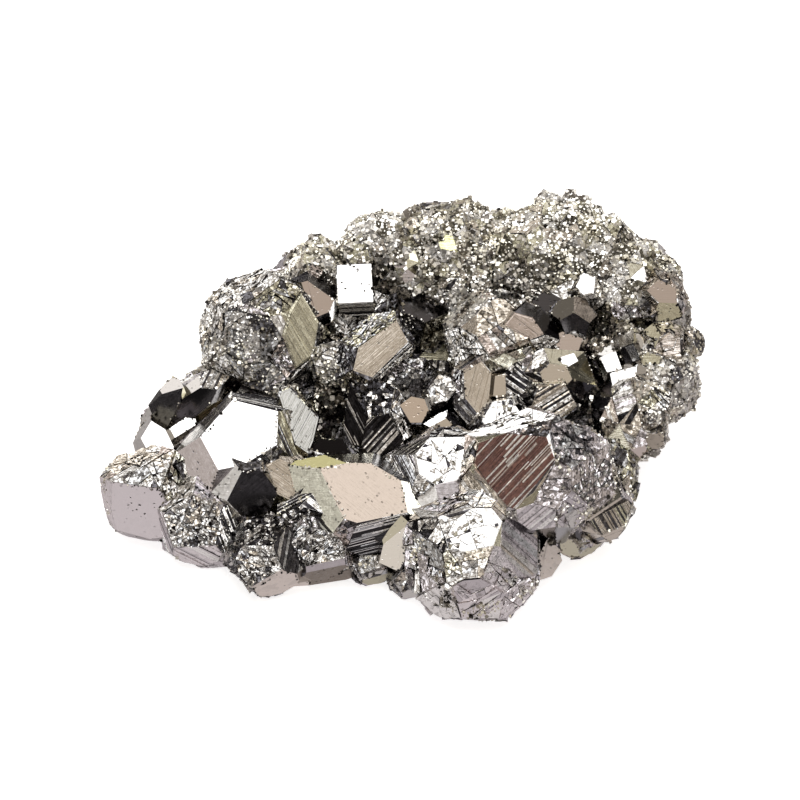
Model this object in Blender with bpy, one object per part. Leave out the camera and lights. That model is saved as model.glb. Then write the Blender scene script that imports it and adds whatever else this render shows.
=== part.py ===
"""A pyrite specimen: one mass of crystals grown into each other, 70 mm long.

Crystals with flat, mostly five-sided faces stand on the front slope, cubes sit between
them, and lumps of fine grains make the back and the left end. All of it grew as one
piece, so it is one solid, and its broken underside is one flat face.
"""

import math
import random
from collections import namedtuple

import bmesh
import bpy
from mathutils import Matrix, Vector, noise

MM = 0.001

# The forms are laid out as they are seen from the front, looking down at VIEW_TILT.
# right and up are measured across that view, and height above the base.
VIEW_TILT = math.radians(42)
VIEW_RIGHT = Vector((1, 0, 0))
VIEW_UP = Vector((0, math.sin(VIEW_TILT), math.cos(VIEW_TILT)))
TO_VIEWER = Vector((0, -math.cos(VIEW_TILT), math.sin(VIEW_TILT)))

PYRITE_COLOUR = (0.62, 0.57, 0.46, 1.0)
PYRITE_ROUGHNESS = 0.25

SEED = 11
GRAIN_SEED = 1
BASE_CUT_DEPTH = 15 * MM
BASE_CUT_SIDE = 200 * MM
STUD_RADII = (0.8, 1.4)
STUD_SUNK = 0.95
BACK_CRYSTALS_EACH = 26
BACK_CRYSTAL_RADII = (2.2, 4.4)
BACK_CRYSTAL_SUNK = 0.6

# The ridge as the front view shows it: an arch that crystals behind it stay under.
RIDGE_RIGHT, RIDGE_UP, RIDGE_HALF_WIDTH = 11, 23, 9.5

# The middle of the layout's footprint, where the finished specimen has its origin.
FOOTPRINT_MIDDLE = Vector((0.298, -10.355, 0)) * MM

# A crystal that shows its main face well. corners outline that face, height is its
# middle, facing is its outward direction (degrees to the right, and above level), fall is
# how far its neighbours turn away, and depth is from the face to the crystal's middle.
# sides are further faces, each with its facing and its distance from the middle, and trims
# is how many smaller ones are spread over what is left.
Faced = namedtuple("Faced", "name facing height depth fall trims corners sides", defaults=[()])

# A crystal known by its middle and size alone. roll turns it about its first face.
Crystal = namedtuple("Crystal", "name right up height radius habit facing roll")

# A rounded mass of grains too small to tell apart, with some grains that stand out.
Lump = namedtuple("Lump", "name right up height radii finer roughness studs")

# Each habit gives how far its three kinds of face stand from the middle, in radii.
# A kind that stands further out only takes corners off, and None leaves it away.
HABITS = {
    "pyritohedron": {"pentagon": 1.0, "cube": None, "octahedron": None},
    "blunted": {"pentagon": 1.0, "cube": 1.09, "octahedron": 1.2},
    "cube": {"pentagon": None, "cube": 1.0, "octahedron": 1.55},
    "cut_cube": {"pentagon": None, "cube": 1.0, "octahedron": 1.3},
}

# Sizes in the tables are in millimetres and angles in degrees.
FACED = [
    Faced("great_pentagon", (-5, 64), 14.0, 6.2, 62, 0,
          ((-22.9, -4.2), (-19.2, 0.0), (-14.0, -1.3), (-14.1, -5.1), (-17.9, -7.4), (-20.8, -8.0))),
    Faced("black_table", (12, 20), 9.6, 3.6, 60, 0,
          ((-19.8, -11.5), (-18.1, -8.2), (-16.0, -8.0),
           (-14.0, -10.7), (-15.6, -13.9), (-18.2, -13.2))),
    Faced("tan_step", (12, 47), 10.5, 3.0, 60, 0,
          ((-15.5, -7.5), (-13.8, -6.7), (-11.2, -7.9),
           (-11.4, -10.2), (-12.7, -11.4), (-14.0, -10.8))),
    Faced("yellow_facet", (25, 58), 11.0, 1.6, 70, 0,
          ((-11.3, -8.0), (-9.4, -7.6), (-9.2, -9.4), (-11.1, -10.1))),
    Faced("plate", (20, 58), 13.0, 3.0, 75, 0,
          ((-14.0, 0.8), (-12.7, 1.4), (-9.4, -2.1), (-10.0, -4.7), (-10.6, -6.1), (-12.0, -5.1))),
    Faced("dark_left_cube", (-12, 20), 10.5, 1.5, 72, 0,
          ((-29.1, -0.7), (-27.5, 0.7), (-25.1, 1.4), (-25.4, -0.4), (-27.1, -3.4), (-28.2, -2.8))),
    Faced("dark_right_cube", (-6, 22), 11.0, 2.4, 68, 0,
          ((-26.9, -3.4), (-25.2, 0.1), (-23.1, 1.4), (-21.1, 1.2), (-21.9, -0.5), (-23.9, -2.1))),
    Faced("left_lump", (-14, 10), 5.8, 4.8, 50, 16,
          ((-33.0, -9.4), (-27.6, -10.2), (-26.2, -13.2), (-26.0, -15.6), (-28.8, -16.0),
           (-32.6, -15.0), (-33.2, -12.4)),
          ((-28, 54, 5.9), (8, 64, 4.8), (-66, 26, 6.2))),
    Faced("left_tail", (-12, 14), 3.8, 4.2, 44, 10,
          ((-27.2, -12.0), (-25.0, -12.4), (-21.8, -15.6), (-20.2, -17.4), (-20.4, -18.8),
           (-23.0, -19.2), (-26.2, -17.4))),
    Faced("white_strip", (12, 62), 9.0, 3.0, 75, 0,
          ((-27.1, -3.6), (-23.9, -1.4), (-23.5, -2.8), (-26.4, -4.6))),
    Faced("white_hexagon", (-14, 62), 9.0, 3.6, 66, 0,
          ((-29.9, -4.4), (-28.7, -2.4), (-27.1, -3.4), (-26.1, -5.4),
           (-26.2, -7.5), (-27.3, -8.1), (-28.6, -6.8))),
    Faced("white_low_face", (-4, 62), 10.4, 2.8, 50, 0,
          ((-11.4, -12.1), (-9.6, -10.2), (-8.2, -9.9), (-6.5, -11.8), (-8.8, -12.9))),
    Faced("peach_table", (3, 60), 12.5, 5.2, 60, 0,
          ((-9.2, -7.8), (-6.1, -7.2), (-3.3, -7.2), (0.1, -9.2),
           (0.9, -12.8), (-4.9, -14.0), (-6.4, -13.5))),
    Faced("dark_pentagon", (-5, 20), 9.4, 3.4, 60, 0,
          ((-5.6, -14.2), (-2.6, -12.6), (-0.9, -12.7), (0.4, -14.2), (-2.1, -16.4))),
    Faced("grey_tooth", (-12, 2), 6.2, 2.8, 60, 0,
          ((0.6, -14.4), (0.5, -18.4), (-0.2, -19.6), (-2.4, -18.6), (-1.9, -16.5))),
    Faced("white_crown", (0, 64), 14.0, 5.0, 50, 10,
          ((1.8, -6.2), (3.4, -4.3), (8.0, -4.2), (8.3, -7.4), (6.4, -9.2), (4.0, -9.7), (2.2, -8.4)),
          ((-70, 22, 5.0), (-14, 8, 4.8), (28, 10, 4.8), (66, 26, 5.0))),
    Faced("front_ball", (0, 64), 13.0, 6.6, 30, 18,
          ((5.2, -15.8), (6.2, -13.7), (8.2, -12.3), (10.4, -12.3),
           (11.6, -13.8), (10.6, -16.5), (7.4, -17.2), (5.5, -16.9)),
          ((-67, 49, 6.4), (-56, 14, 6.4), (62, 28, 6.5), (74, 50, 6.4), (10, 44, 6.5),
           (-16, 30, 6.5), (30, 22, 6.5), (-32, -8, 7.0), (8, 0, 6.8), (44, -6, 7.2),
           (0, -48, 7.5), (-60, -29, 7.8), (60, -29, 8.1), (-88, -4, 7.4), (90, 0, 7.5))),
    Faced("right_ball", (-46, 49), 16.6, 7.4, 26, 16,
          ((8.5, -7.2), (9.0, -4.9), (12.0, -3.8), (16.6, -4.2), (17.6, -6.8),
           (14.2, -11.2), (13.2, -12.4), (12.2, -12.1), (10.2, -9.7)),
          ((4, 8, 7.0), (14, 30, 6.8), (30, 50, 7.0), (68, 56, 6.8), (56, 18, 7.2),
           (36, 6, 7.1), (-26, 4, 6.9), (10, -36, 5.8), (52, -28, 6.2), (-34, -30, 6.0))),
    Faced("white_knob", (0, 62), 15.5, 2.6, 60, 0,
          ((9.4, -2.4), (10.6, -0.2), (12.7, 0.1), (13.8, -1.4), (13.2, -3.5), (10.8, -4.4))),
    Faced("tan_button", (0, 47), 13.5, 1.7, 60, 0,
          ((0.0, -0.6), (1.3, 0.4), (2.8, 0.1), (3.3, -1.2), (2.5, -2.6), (1.2, -2.6))),
    Faced("olive_button", (-10, 47), 13.0, 1.8, 60, 0,
          ((3.4, -3.1), (5.3, -2.1), (6.0, -2.8), (4.8, -3.9), (3.6, -4.1))),
    Faced("dark_scored", (2, 20), 10.5, 3.4, 56, 0,
          ((-4.5, -5.3), (-3.8, -2.1), (-1.2, -1.6), (0.4, -4.7), (0.1, -8.9), (-1.8, -8.0))),
    Faced("dark_slab", (2, 20), 13.5, 2.6, 62, 0,
          ((-2.6, 0.9), (-1.2, 2.2), (2.4, 2.5), (3.2, 1.1), (1.8, 0.1), (-1.6, -0.2))),
    Faced("tan_tall", (-4, 47), 16.5, 2.8, 62, 0,
          ((7.3, 3.4), (9.4, 4.4), (10.5, 3.1), (10.2, 0.0), (9.1, -1.8), (7.5, 0.2))),
    Faced("tan_square", (4, 47), 16.0, 1.8, 85, 0,
          ((10.2, 2.7), (12.1, 2.9), (12.2, 0.6), (10.6, 0.5))),
    Faced("tan_octagon", (4, 47), 17.0, 2.6, 50, 0,
          ((16.1, 3.2), (17.2, 4.2), (19.1, 3.9), (19.8, 2.4), (18.7, 1.2), (16.7, 1.2))),
    Faced("granular_ball", (-12, 34), 18.3, 6.6, 26, 26,
          ((-20.0, 5.6), (-19.8, 8.2), (-17.6, 10.0), (-15.0, 9.6), (-13.6, 7.4),
           (-15.0, 4.6), (-17.8, 4.2)),
          ((-74, 24, 6.5), (-52, 56, 5.2), (10, 70, 7.0), (52, 24, 6.4))),
    Faced("white_cube", (-10, 60), 20.0, 2.2, 88, 0,
          ((-7.3, 15.6), (-3.4, 15.8), (-3.1, 11.4), (-7.3, 11.2))),
    Faced("tan_cube", (14, 46), 18.0, 3.6, 66, 0,
          ((-5.4, 3.4), (-4.8, 6.0), (-0.4, 9.2), (0.9, 6.7), (-3.2, 2.6))),
    Faced("speckled_face", (-10, 60), 15.0, 2.0, 60, 0,
          ((3.2, 1.2), (4.4, 2.9), (5.8, 2.6), (6.6, 1.1), (5.4, -0.1), (3.6, -0.6))),
    Faced("shelf_face", (18, 46), 19.5, 2.4, 66, 0,
          ((-11.4, 13.6), (-10.7, 13.8), (-7.6, 11.6), (-8.2, 10.2), (-10.1, 9.4))),
    Faced("hill_rose_face", (10, 46), 20.0, 2.2, 50, 0,
          ((12.1, 8.7), (13.2, 10.1), (15.3, 9.5), (16.6, 7.6), (14.9, 6.9))),
    Faced("hollow_tan_face", (0, 47), 16.5, 2.2, 66, 0,
          ((17.4, 7.3), (18.8, 7.9), (21.1, 7.1), (20.5, 5.3), (18.6, 5.6))),
    Faced("hollow_dark_face", (4, 20), 18.0, 2.0, 60, 0,
          ((18.5, 9.2), (20.1, 10.1), (21.9, 8.9), (21.4, 7.3), (19.4, 6.9))),
    Faced("small_white_low", (0, 62), 18.0, 1.2, 80, 0,
          ((18.4, 4.9), (20.0, 5.4), (20.5, 4.5), (18.9, 3.6))),
    Faced("small_white_left", (-8, 62), 15.8, 2.2, 80, 0,
          ((23.1, 4.9), (24.9, 5.6), (25.6, 3.6), (23.9, 3.2))),
    Faced("small_white_right", (-4, 62), 15.4, 2.4, 80, 0,
          ((24.2, 3.1), (27.3, 3.9), (27.2, 1.4), (24.6, 1.1))),
    Faced("small_black", (6, 20), 16.8, 2.2, 80, 0,
          ((25.4, 6.0), (26.9, 6.6), (27.8, 4.7), (26.1, 4.0))),
    Faced("right_rose_face", (16, 46), 19.0, 2.8, 60, 0,
          ((28.6, 12.7), (30.0, 14.0), (32.0, 12.9), (32.1, 11.2), (30.0, 11.3))),
    Faced("right_tan_face", (14, 44), 15.5, 2.6, 60, 0,
          ((29.4, 5.9), (30.2, 7.5), (32.4, 7.3), (32.5, 5.4), (30.6, 5.1))),
    Faced("right_low_face", (34, 40), 8.0, 3.0, 50, 20,
          ((21.4, -13.5), (24.1, -10.1), (26.6, -11.8), (25.6, -14.4), (23.1, -15.5))),
    Faced("right_blade", (30, 24), 4.2, 2.0, 78, 0,
          ((16.9, -15.8), (16.1, -17.4), (15.6, -20.8), (17.4, -20.2), (18.6, -18.4), (18.0, -16.8))),
    Faced("front_ledge", (-6, 30), 1.7, 2.0, 55, 0,
          ((-17.0, -20.4), (-13.0, -19.2), (-7.4, -18.4), (-5.6, -19.3), (-10.4, -20.8), (-15.6, -21.6))),
    Faced("white_top_facet", (-2, 62), 20.5, 1.8, 60, 0,
          ((20.4, 13.2), (21.2, 14.7), (22.6, 14.1), (22.4, 12.5), (21.2, 12.2))),
]

CRYSTALS = [
    Crystal("striped_wedge", 17.0, 0.2, 13.0, 3.6, "blunted", (10, 30), 35),
    Crystal("striped_slab", 13.8, 1.6, 13.5, 2.8, "pyritohedron", (-20, 30), 15),
    Crystal("hill_ball", 10.9, 7.2, 16.0, 4.9, "blunted", (15, 55), 10),
    Crystal("front_left_block", -15.3, -17.8, 4.6, 3.9, "blunted", (-15, 25), 40),
    Crystal("front_middle_block", -9.4, -16.2, 5.0, 3.8, "blunted", (10, 25), 5),
    Crystal("low_middle_block", -3.4, -18.1, 2.6, 2.6, "blunted", (5, 30), 15),
    Crystal("low_front_block", 0.9, -20.4, 2.0, 2.0, "blunted", (-5, 30), 25),
    Crystal("striped_fold", -23.0, -13.7, 4.8, 4.4, "blunted", (-10, 35), 10),
    Crystal("right_grey_block", 21.0, -10.5, 8.0, 4.6, "blunted", (20, 35), 20),
    Crystal("right_low_block", 20.4, -14.7, 3.4, 2.8, "blunted", (25, 30), 15),
]

# The masses that carry the crystals, and the deep hollows left between them.
CORE = Lump("core", 2.0, -1.0, 4.5, (28, 17, 8), 2, 0.08, 0)
FRONT_MASSES = [
    Lump("front_core", -1.0, -13.5, 3.0, (20, 7, 5), 2, 0.08, 0),
    Lump("left_core", -19.0, -4.0, 4.0, (11, 10, 6), 2, 0.08, 0),
]
BACK_MASSES = [
    Lump("back_left", -6.0, 9.5, 8.0, (11.0, 9.5, 8.5), 3, 0.08, 0),
    Lump("back_middle", 6.0, 12.0, 9.5, (12.0, 11.5, 10.0), 3, 0.08, 0),
    Lump("back_right", 20.0, 11.0, 9.5, (12.0, 12.0, 10.0), 3, 0.08, 0),
]
HOLLOWS = [
    Lump("left_hollow", -7.4, -2.6, 9.0, (2.9, 3.4, 4.5), 2, 0.15, 0),
    Lump("middle_hollow", 3.0, 9.2, 14.5, (2.9, 3.2, 5.0), 2, 0.15, 0),
    Lump("upper_crevice", 11.6, 13.2, 16.5, (2.6, 3.0, 4.5), 2, 0.15, 0),
    Lump("lower_crevice", 15.6, 10.0, 14.5, (2.6, 3.0, 4.5), 2, 0.15, 0),
    Lump("right_hollow", 21.5, 2.6, 12.5, (2.2, 2.6, 4.0), 2, 0.15, 0),
]

# Masses between crystals that would otherwise close round an empty space.
ROOTS = [
    Lump("shelf_root", -12.0, 10.7, 13.4, (1.3, 1.3, 1.3), 1, 0, 0),
    Lump("crevice_root", 17.3, 7.7, 11.9, (1.7, 2.2, 1.9), 1, 0, 0),
]
LUMPS = [
    Lump("small_granular_ball", -7.9, 4.1, 14.0, (2.7, 2.6, 2.6), 2, 0.05, 0),
    Lump("ridge_far_left", -9.4, 13.6, 15.5, (4.3, 4.0, 4.0), 2, 0.08, 4),
    Lump("ridge_left", -1.0, 16.7, 16.5, (6.3, 5.3, 5.0), 3, 0.10, 6),
    Lump("ridge_middle", 7.0, 17.0, 17.3, (6.3, 6.3, 5.8), 3, 0.10, 6),
    Lump("ridge_right", 18.0, 16.6, 18.0, (7.8, 6.9, 6.1), 3, 0.10, 8),
    Lump("shoulder_right", 25.7, 12.7, 15.0, (6.9, 6.5, 5.9), 3, 0.10, 6),
    Lump("right_end", 30.3, 2.8, 9.5, (4.4, 5.4, 6.0), 2, 0.10, 5),
    Lump("right_bridge", 25.8, 5.4, 13.2, (3.8, 3.6, 3.4), 2, 0.10, 0),
    Lump("right_middle", 26.5, -2.0, 10.5, (4.8, 5.0, 5.3), 2, 0.10, 4),
    Lump("right_front", 24.1, -8.5, 7.0, (3.5, 4.4, 4.4), 2, 0.10, 0),
]


def place(right, up, height):
    """The point that is seen at (right, up) and stands height above the base, in metres."""
    back = (up - height * math.cos(VIEW_TILT)) / math.sin(VIEW_TILT)
    return Vector((right, back, height)) * MM


def pointing(azimuth, elevation):
    """A direction: degrees to the right of the front, and degrees above level."""
    a, e = math.radians(azimuth), math.radians(elevation)
    return Vector((math.sin(a) * math.cos(e), -math.cos(a) * math.cos(e), math.sin(e)))


def chop(mesh, point, normal):
    """Cuts off what lies beyond a plane, and closes the cut with a flat face."""
    cut = bmesh.ops.bisect_plane(
        mesh,
        geom=mesh.verts[:] + mesh.edges[:] + mesh.faces[:],
        plane_co=point,
        plane_no=normal,
        clear_outer=True,
    )
    edges = [e for e in cut["geom_cut"] if isinstance(e, bmesh.types.BMEdge)]
    if edges:
        bmesh.ops.edgeloop_fill(mesh, edges=edges)


def chopped_block(planes, size):
    """The solid inside all the planes, each given as (normal, distance) from its middle."""
    mesh = bmesh.new()
    bmesh.ops.create_cube(mesh, size=size)
    for normal, distance in planes:
        chop(mesh, normal * distance, normal)
    bmesh.ops.remove_doubles(mesh, verts=mesh.verts[:], dist=0.02 * MM)
    bmesh.ops.recalc_face_normals(mesh, faces=mesh.faces[:])
    return mesh


def on_plane(right, up, middle, normal):
    """The point of a plane that is seen at (right, up)."""
    flat = (VIEW_RIGHT * right + VIEW_UP * up) * MM
    return flat + TO_VIEWER * ((middle - flat).dot(normal) / TO_VIEWER.dot(normal))


def turning_left(corners):
    """The corners in anticlockwise order."""
    area = 0
    for (x0, y0), (x1, y1) in zip(corners, corners[1:] + corners[:1]):
        area += x0 * y1 - x1 * y0
    return corners if area > 0 else corners[::-1]


def spread_directions(count, rng):
    """Directions spread evenly over a sphere, each a little off its place."""
    golden = math.pi * (3 - math.sqrt(5))
    for number in range(count):
        level = 1 - 2 * (number + 0.5) / count
        out = math.sqrt(1 - level * level)
        around = golden * number
        way = Vector((out * math.cos(around), out * math.sin(around), level))
        yield (way + Vector([rng.uniform(-0.12, 0.12) for _ in range(3)])).normalized()


def faced_crystal(piece, rng):
    """Its faces come in opposite pairs: the main face, and one past each of its edges."""
    corners = turning_left(piece.corners)
    count = len(corners)
    normal = pointing(*piece.facing)
    middle = place(
        sum(right for right, up in corners) / count,
        sum(up for right, up in corners) / count,
        piece.height,
    )
    depth = piece.depth * MM
    centre = middle - normal * depth
    points = [on_plane(right, up, middle, normal) for right, up in corners]
    planes = [(normal, depth), (-normal, depth)]
    for start, end in zip(points, points[1:] + points[:1]):
        outward = (end - start).cross(normal).normalized()
        fall = math.radians(piece.fall + rng.uniform(-5, 5))
        side = normal * math.cos(fall) + outward * math.sin(fall)
        distance = side.dot(start - centre)
        planes += [(side, distance), (-side, distance * rng.uniform(0.95, 1.1))]
    further = [(pointing(azimuth, elevation), distance * MM) for azimuth, elevation, distance in piece.sides]
    for side in spread_directions(piece.trims, rng):
        if side.dot(normal) < 0.72 and all(side.dot(way) < 0.86 for way, distance in further):
            further.append((side, depth * rng.uniform(0.90, 1.04)))
    for side, distance in further:
        reach = max(side.dot(point - centre) for point in points)
        planes.append((side, max(distance, reach)))
    return centre, chopped_block(planes, 12 * depth)


def turned(facing, roll):
    """Turns a crystal so that its first pentagonal face looks along facing."""
    a, e = (math.radians(angle) for angle in facing)
    outward = pointing(*facing)
    upward = Vector((-math.sin(a) * math.sin(e), math.cos(a) * math.sin(e), math.cos(e)))
    world = Matrix((upward.cross(outward), upward, outward)).transposed()
    lean = math.sqrt(5)
    first_face = Matrix(((0, 0, 1), (2 / lean, -1 / lean, 0), (1 / lean, 2 / lean, 0)))
    return world @ Matrix.Rotation(math.radians(roll), 3, "Z") @ first_face


def face_directions():
    """The directions of the three kinds of face, from the crystal's own axes."""
    signs = (1, -1)
    pentagon = [Vector((a, 2 * b, 0)) for a in signs for b in signs]
    pentagon += [Vector((0, a, 2 * b)) for a in signs for b in signs]
    pentagon += [Vector((2 * a, 0, b)) for a in signs for b in signs]
    cube = [Vector(axis) * a for axis in ((1, 0, 0), (0, 1, 0), (0, 0, 1)) for a in signs]
    octahedron = [Vector((a, b, c)) for a in signs for b in signs for c in signs]
    return {"pentagon": pentagon, "cube": cube, "octahedron": octahedron}


def crystal_mesh(radius, habit, turn, rng):
    planes = []
    for kind, directions in face_directions().items():
        share = HABITS[habit][kind]
        if share is not None:
            for direction in directions:
                distance = radius * share * rng.uniform(0.94, 1.04)
                planes.append((turn @ direction.normalized(), distance))
    return chopped_block(planes, 4 * radius)


def any_way_up(rng):
    return turned((rng.uniform(0, 360), rng.uniform(-90, 90)), rng.uniform(0, 360))


def lump_of_grains(piece):
    mesh = bmesh.new()
    bmesh.ops.create_icosphere(mesh, subdivisions=piece.finer, radius=1)
    offset = Vector((piece.right, piece.up, piece.height))
    for vert in mesh.verts:
        uneven = noise.fractal(vert.co * 2.2 + offset, 0.8, 2.0, 2)
        vert.co *= 1 + piece.roughness * uneven * 2
    bmesh.ops.scale(mesh, vec=Vector(piece.radii) * MM, verts=mesh.verts[:])
    return place(piece.right, piece.up, piece.height), mesh


def add_object(name, centre, mesh, collection):
    data = bpy.data.meshes.new(name)
    mesh.to_mesh(data)
    mesh.free()
    made = bpy.data.objects.new(name, data)
    made.location = centre - FOOTPRINT_MIDDLE
    collection.objects.link(made)
    return made


def add_helper(name, centre, mesh, collection):
    made = add_object(name, centre, mesh, collection)
    made.hide_render = True
    made.display_type = "WIRE"
    return made


def add_studs(piece, collection, rng):
    """Grains that stand out of a lump: small crystals at any angle, half sunk in it."""
    centre = place(piece.right, piece.up, piece.height)
    for number in range(piece.studs):
        way = pointing(rng.uniform(-180, 180), rng.uniform(-10, 80))
        skin = Vector([way[k] * piece.radii[k] for k in range(3)]) * MM
        radius = rng.uniform(*STUD_RADII) * MM
        habit = rng.choice(("cube", "cut_cube", "pyritohedron"))
        mesh = crystal_mesh(radius, habit, any_way_up(rng), rng)
        add_helper(f"{piece.name}_grain_{number}", centre + skin * STUD_SUNK, mesh, collection)


def hidden_by_ridge(point, radius):
    """Whether the front view's ridge hides a crystal that stands behind it."""
    off_ridge = (point.dot(VIEW_RIGHT) / MM - RIDGE_RIGHT) / RIDGE_HALF_WIDTH
    return (point.dot(VIEW_UP) + radius) / MM < RIDGE_UP - off_ridge**2


def add_back_crystals(piece, collection, rng):
    """Crystals over the back of a mass, where the front view doesn't reach."""
    centre = place(piece.right, piece.up, piece.height)
    for number, way in enumerate(spread_directions(BACK_CRYSTALS_EACH, rng)):
        radius = rng.uniform(*BACK_CRYSTAL_RADII) * MM
        habit = rng.choice(("cut_cube", "pyritohedron", "pyritohedron"))
        skin = Vector([way[k] * piece.radii[k] for k in range(3)]) * MM
        middle = centre + skin - way * radius * BACK_CRYSTAL_SUNK
        if middle.z > 0 and hidden_by_ridge(middle, radius):
            mesh = crystal_mesh(radius, habit, any_way_up(rng), rng)
            add_helper(f"{piece.name}_crystal_{number}", middle, mesh, collection)


def add_boolean(cluster, name, operation, collection):
    modifier = cluster.modifiers.new(name, "BOOLEAN")
    modifier.operation = operation
    modifier.operand_type = "COLLECTION"
    modifier.collection = collection


def pyrite_material():
    """Iron sulphide: a metal-bright surface, paler and greyer than brass."""
    material = bpy.data.materials.new("pyrite")
    material.use_nodes = True
    shader = material.node_tree.nodes["Principled BSDF"]
    shader.inputs["Base Color"].default_value = PYRITE_COLOUR
    shader.inputs["Metallic"].default_value = 1.0
    shader.inputs["Roughness"].default_value = PYRITE_ROUGHNESS
    return material


def add_collection(name):
    made = bpy.data.collections.new(name)
    bpy.context.scene.collection.children.link(made)
    return made


def add_masses(collection):
    for piece in FRONT_MASSES + BACK_MASSES:
        add_helper(piece.name, *lump_of_grains(piece), collection)


def add_hollows(collection):
    for piece in HOLLOWS:
        add_helper(piece.name, *lump_of_grains(piece), collection)


def add_faced_crystals(collection, rng):
    for piece in FACED:
        add_helper(piece.name, *faced_crystal(piece, rng), collection)


def add_growths(collection, rng):
    for piece in CRYSTALS:
        turn = turned(piece.facing, piece.roll)
        mesh = crystal_mesh(piece.radius * MM, piece.habit, turn, rng)
        add_helper(piece.name, place(piece.right, piece.up, piece.height), mesh, collection)
    for piece in ROOTS + LUMPS:
        add_helper(piece.name, *lump_of_grains(piece), collection)
        add_studs(piece, collection, rng)
    for piece in BACK_MASSES:
        add_back_crystals(piece, collection, rng)


def add_base_cutter(collection):
    mesh = bmesh.new()
    bmesh.ops.create_cube(mesh, size=1)
    bmesh.ops.scale(mesh, vec=(BASE_CUT_SIDE, BASE_CUT_SIDE, BASE_CUT_DEPTH), verts=mesh.verts[:])
    add_helper("below_base", Vector((0, 0, -BASE_CUT_DEPTH / 2)), mesh, collection)


def build():
    for old in list(bpy.data.objects):
        bpy.data.objects.remove(old, do_unlink=True)
    specimen = add_collection("pyrite_specimen")
    masses, hollows = add_collection("masses"), add_collection("hollows")
    growths, base_cutters = add_collection("growths"), add_collection("base_cutters")

    add_masses(masses)
    add_hollows(hollows)
    add_faced_crystals(growths, random.Random(SEED))
    add_growths(growths, random.Random(GRAIN_SEED))
    add_base_cutter(base_cutters)

    cluster = add_object("pyrite_cluster", *lump_of_grains(CORE), specimen)
    add_boolean(cluster, "masses_joined", "UNION", masses)
    add_boolean(cluster, "hollows_left", "DIFFERENCE", hollows)
    add_boolean(cluster, "grown_together", "UNION", growths)
    add_boolean(cluster, "flat_base", "DIFFERENCE", base_cutters)
    cluster.data.materials.append(pyrite_material())


build()
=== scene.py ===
# %% [markdown]
# # A pyrite specimen
# The real object is a lump of iron sulphide that fits in a hand: crystals with flat,
# mirror-bright faces in front, and rounded masses of sugar-sized grains behind.
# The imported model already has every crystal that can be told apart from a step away.
# This lesson keeps those shapes and adds what the eye finds when it comes closer:
# growth bands and broken mosaics on the faces, loose-looking grains, pits and tarnish.

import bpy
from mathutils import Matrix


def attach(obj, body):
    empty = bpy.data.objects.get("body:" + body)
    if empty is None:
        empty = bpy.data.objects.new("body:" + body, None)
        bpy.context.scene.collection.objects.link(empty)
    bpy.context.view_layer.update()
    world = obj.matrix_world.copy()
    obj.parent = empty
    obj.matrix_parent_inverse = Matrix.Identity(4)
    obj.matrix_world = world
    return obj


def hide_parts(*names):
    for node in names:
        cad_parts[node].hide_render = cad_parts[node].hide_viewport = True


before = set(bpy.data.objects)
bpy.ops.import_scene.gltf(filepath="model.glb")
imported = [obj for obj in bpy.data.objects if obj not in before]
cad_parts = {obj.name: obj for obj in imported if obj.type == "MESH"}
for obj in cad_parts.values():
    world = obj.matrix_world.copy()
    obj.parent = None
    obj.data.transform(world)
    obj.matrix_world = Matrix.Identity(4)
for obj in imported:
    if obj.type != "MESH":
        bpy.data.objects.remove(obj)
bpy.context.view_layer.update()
NODE = "pyrite_cluster"

# %% [markdown]
# ## Where things are
# The specimen was laid out as the photograph shows it, from 42 degrees above level.
# right and up are millimetres across that view, and height is millimetres above the
# table. A crystal is easier to find with these three numbers than with x, y and z.

# %% View coordinates
import math
import random
import time
from collections import namedtuple

import bmesh
import bpy
import numpy as np
from mathutils import Vector, geometry, noise
from mathutils.bvhtree import BVHTree

MM = 0.001
VIEW_TILT = math.radians(42)
VIEW_RIGHT = Vector((1, 0, 0))
VIEW_UP = Vector((0, math.sin(VIEW_TILT), math.cos(VIEW_TILT)))
TO_VIEWER = Vector((0, -math.cos(VIEW_TILT), math.sin(VIEW_TILT)))
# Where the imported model's origin, the middle of its footprint, lies in the layout.
LAYOUT_MIDDLE = Vector((0.298, -10.355, 0)) * MM


def place(right, up, height):
    """The point seen at (right, up), standing height above the table, in metres."""
    back = (up - height * math.cos(VIEW_TILT)) / math.sin(VIEW_TILT)
    return Vector((right, back, height)) * MM - LAYOUT_MIDDLE


def pointing(azimuth, elevation):
    """A direction: degrees to the right of the front, and degrees above level."""
    turn, rise = math.radians(azimuth), math.radians(elevation)
    level = math.cos(rise)
    return Vector((math.sin(turn) * level, -math.cos(turn) * level, math.sin(rise)))


print("middle of the view, mm:", [round(side / MM, 1) for side in place(0, 0, 0)])
# %% [markdown]
# ## Camera
# The camera stands where the photograph was taken from. A short lens close by would make
# the front crystals look larger than those behind, so this is a long one, a metre away.

# %% Camera
CAMERA_DISTANCE = 1.0
PICTURE_WIDTH = 94.1 * MM
SENSOR_WIDTH = 36
NEAREST_SEEN = 0.05


def shown(name, data):
    """A new object in the scene, with this mesh or camera."""
    made = bpy.data.objects.new(name, data)
    bpy.context.scene.collection.objects.link(made)
    return made


camera = shown("camera", bpy.data.cameras.new("camera"))
camera.location = TO_VIEWER * CAMERA_DISTANCE - LAYOUT_MIDDLE
camera.rotation_mode = "QUATERNION"
camera.rotation_quaternion = (-TO_VIEWER).to_track_quat("-Z", "Y")
camera.data.sensor_width = SENSOR_WIDTH
camera.data.lens = SENSOR_WIDTH * CAMERA_DISTANCE / PICTURE_WIDTH
camera.data.clip_start = NEAREST_SEEN
bpy.context.scene.camera = camera
print("lens, mm:", round(camera.data.lens))

# %% [markdown]
# ## Trees of nodes
# The studio, the metals and the grains are all made by trees of nodes. A script could add
# nodes one by one and link them afterwards. Adding a node, setting it and joining its
# inputs in one call is shorter, and a tree then reads from top to end like a sum.

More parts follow.
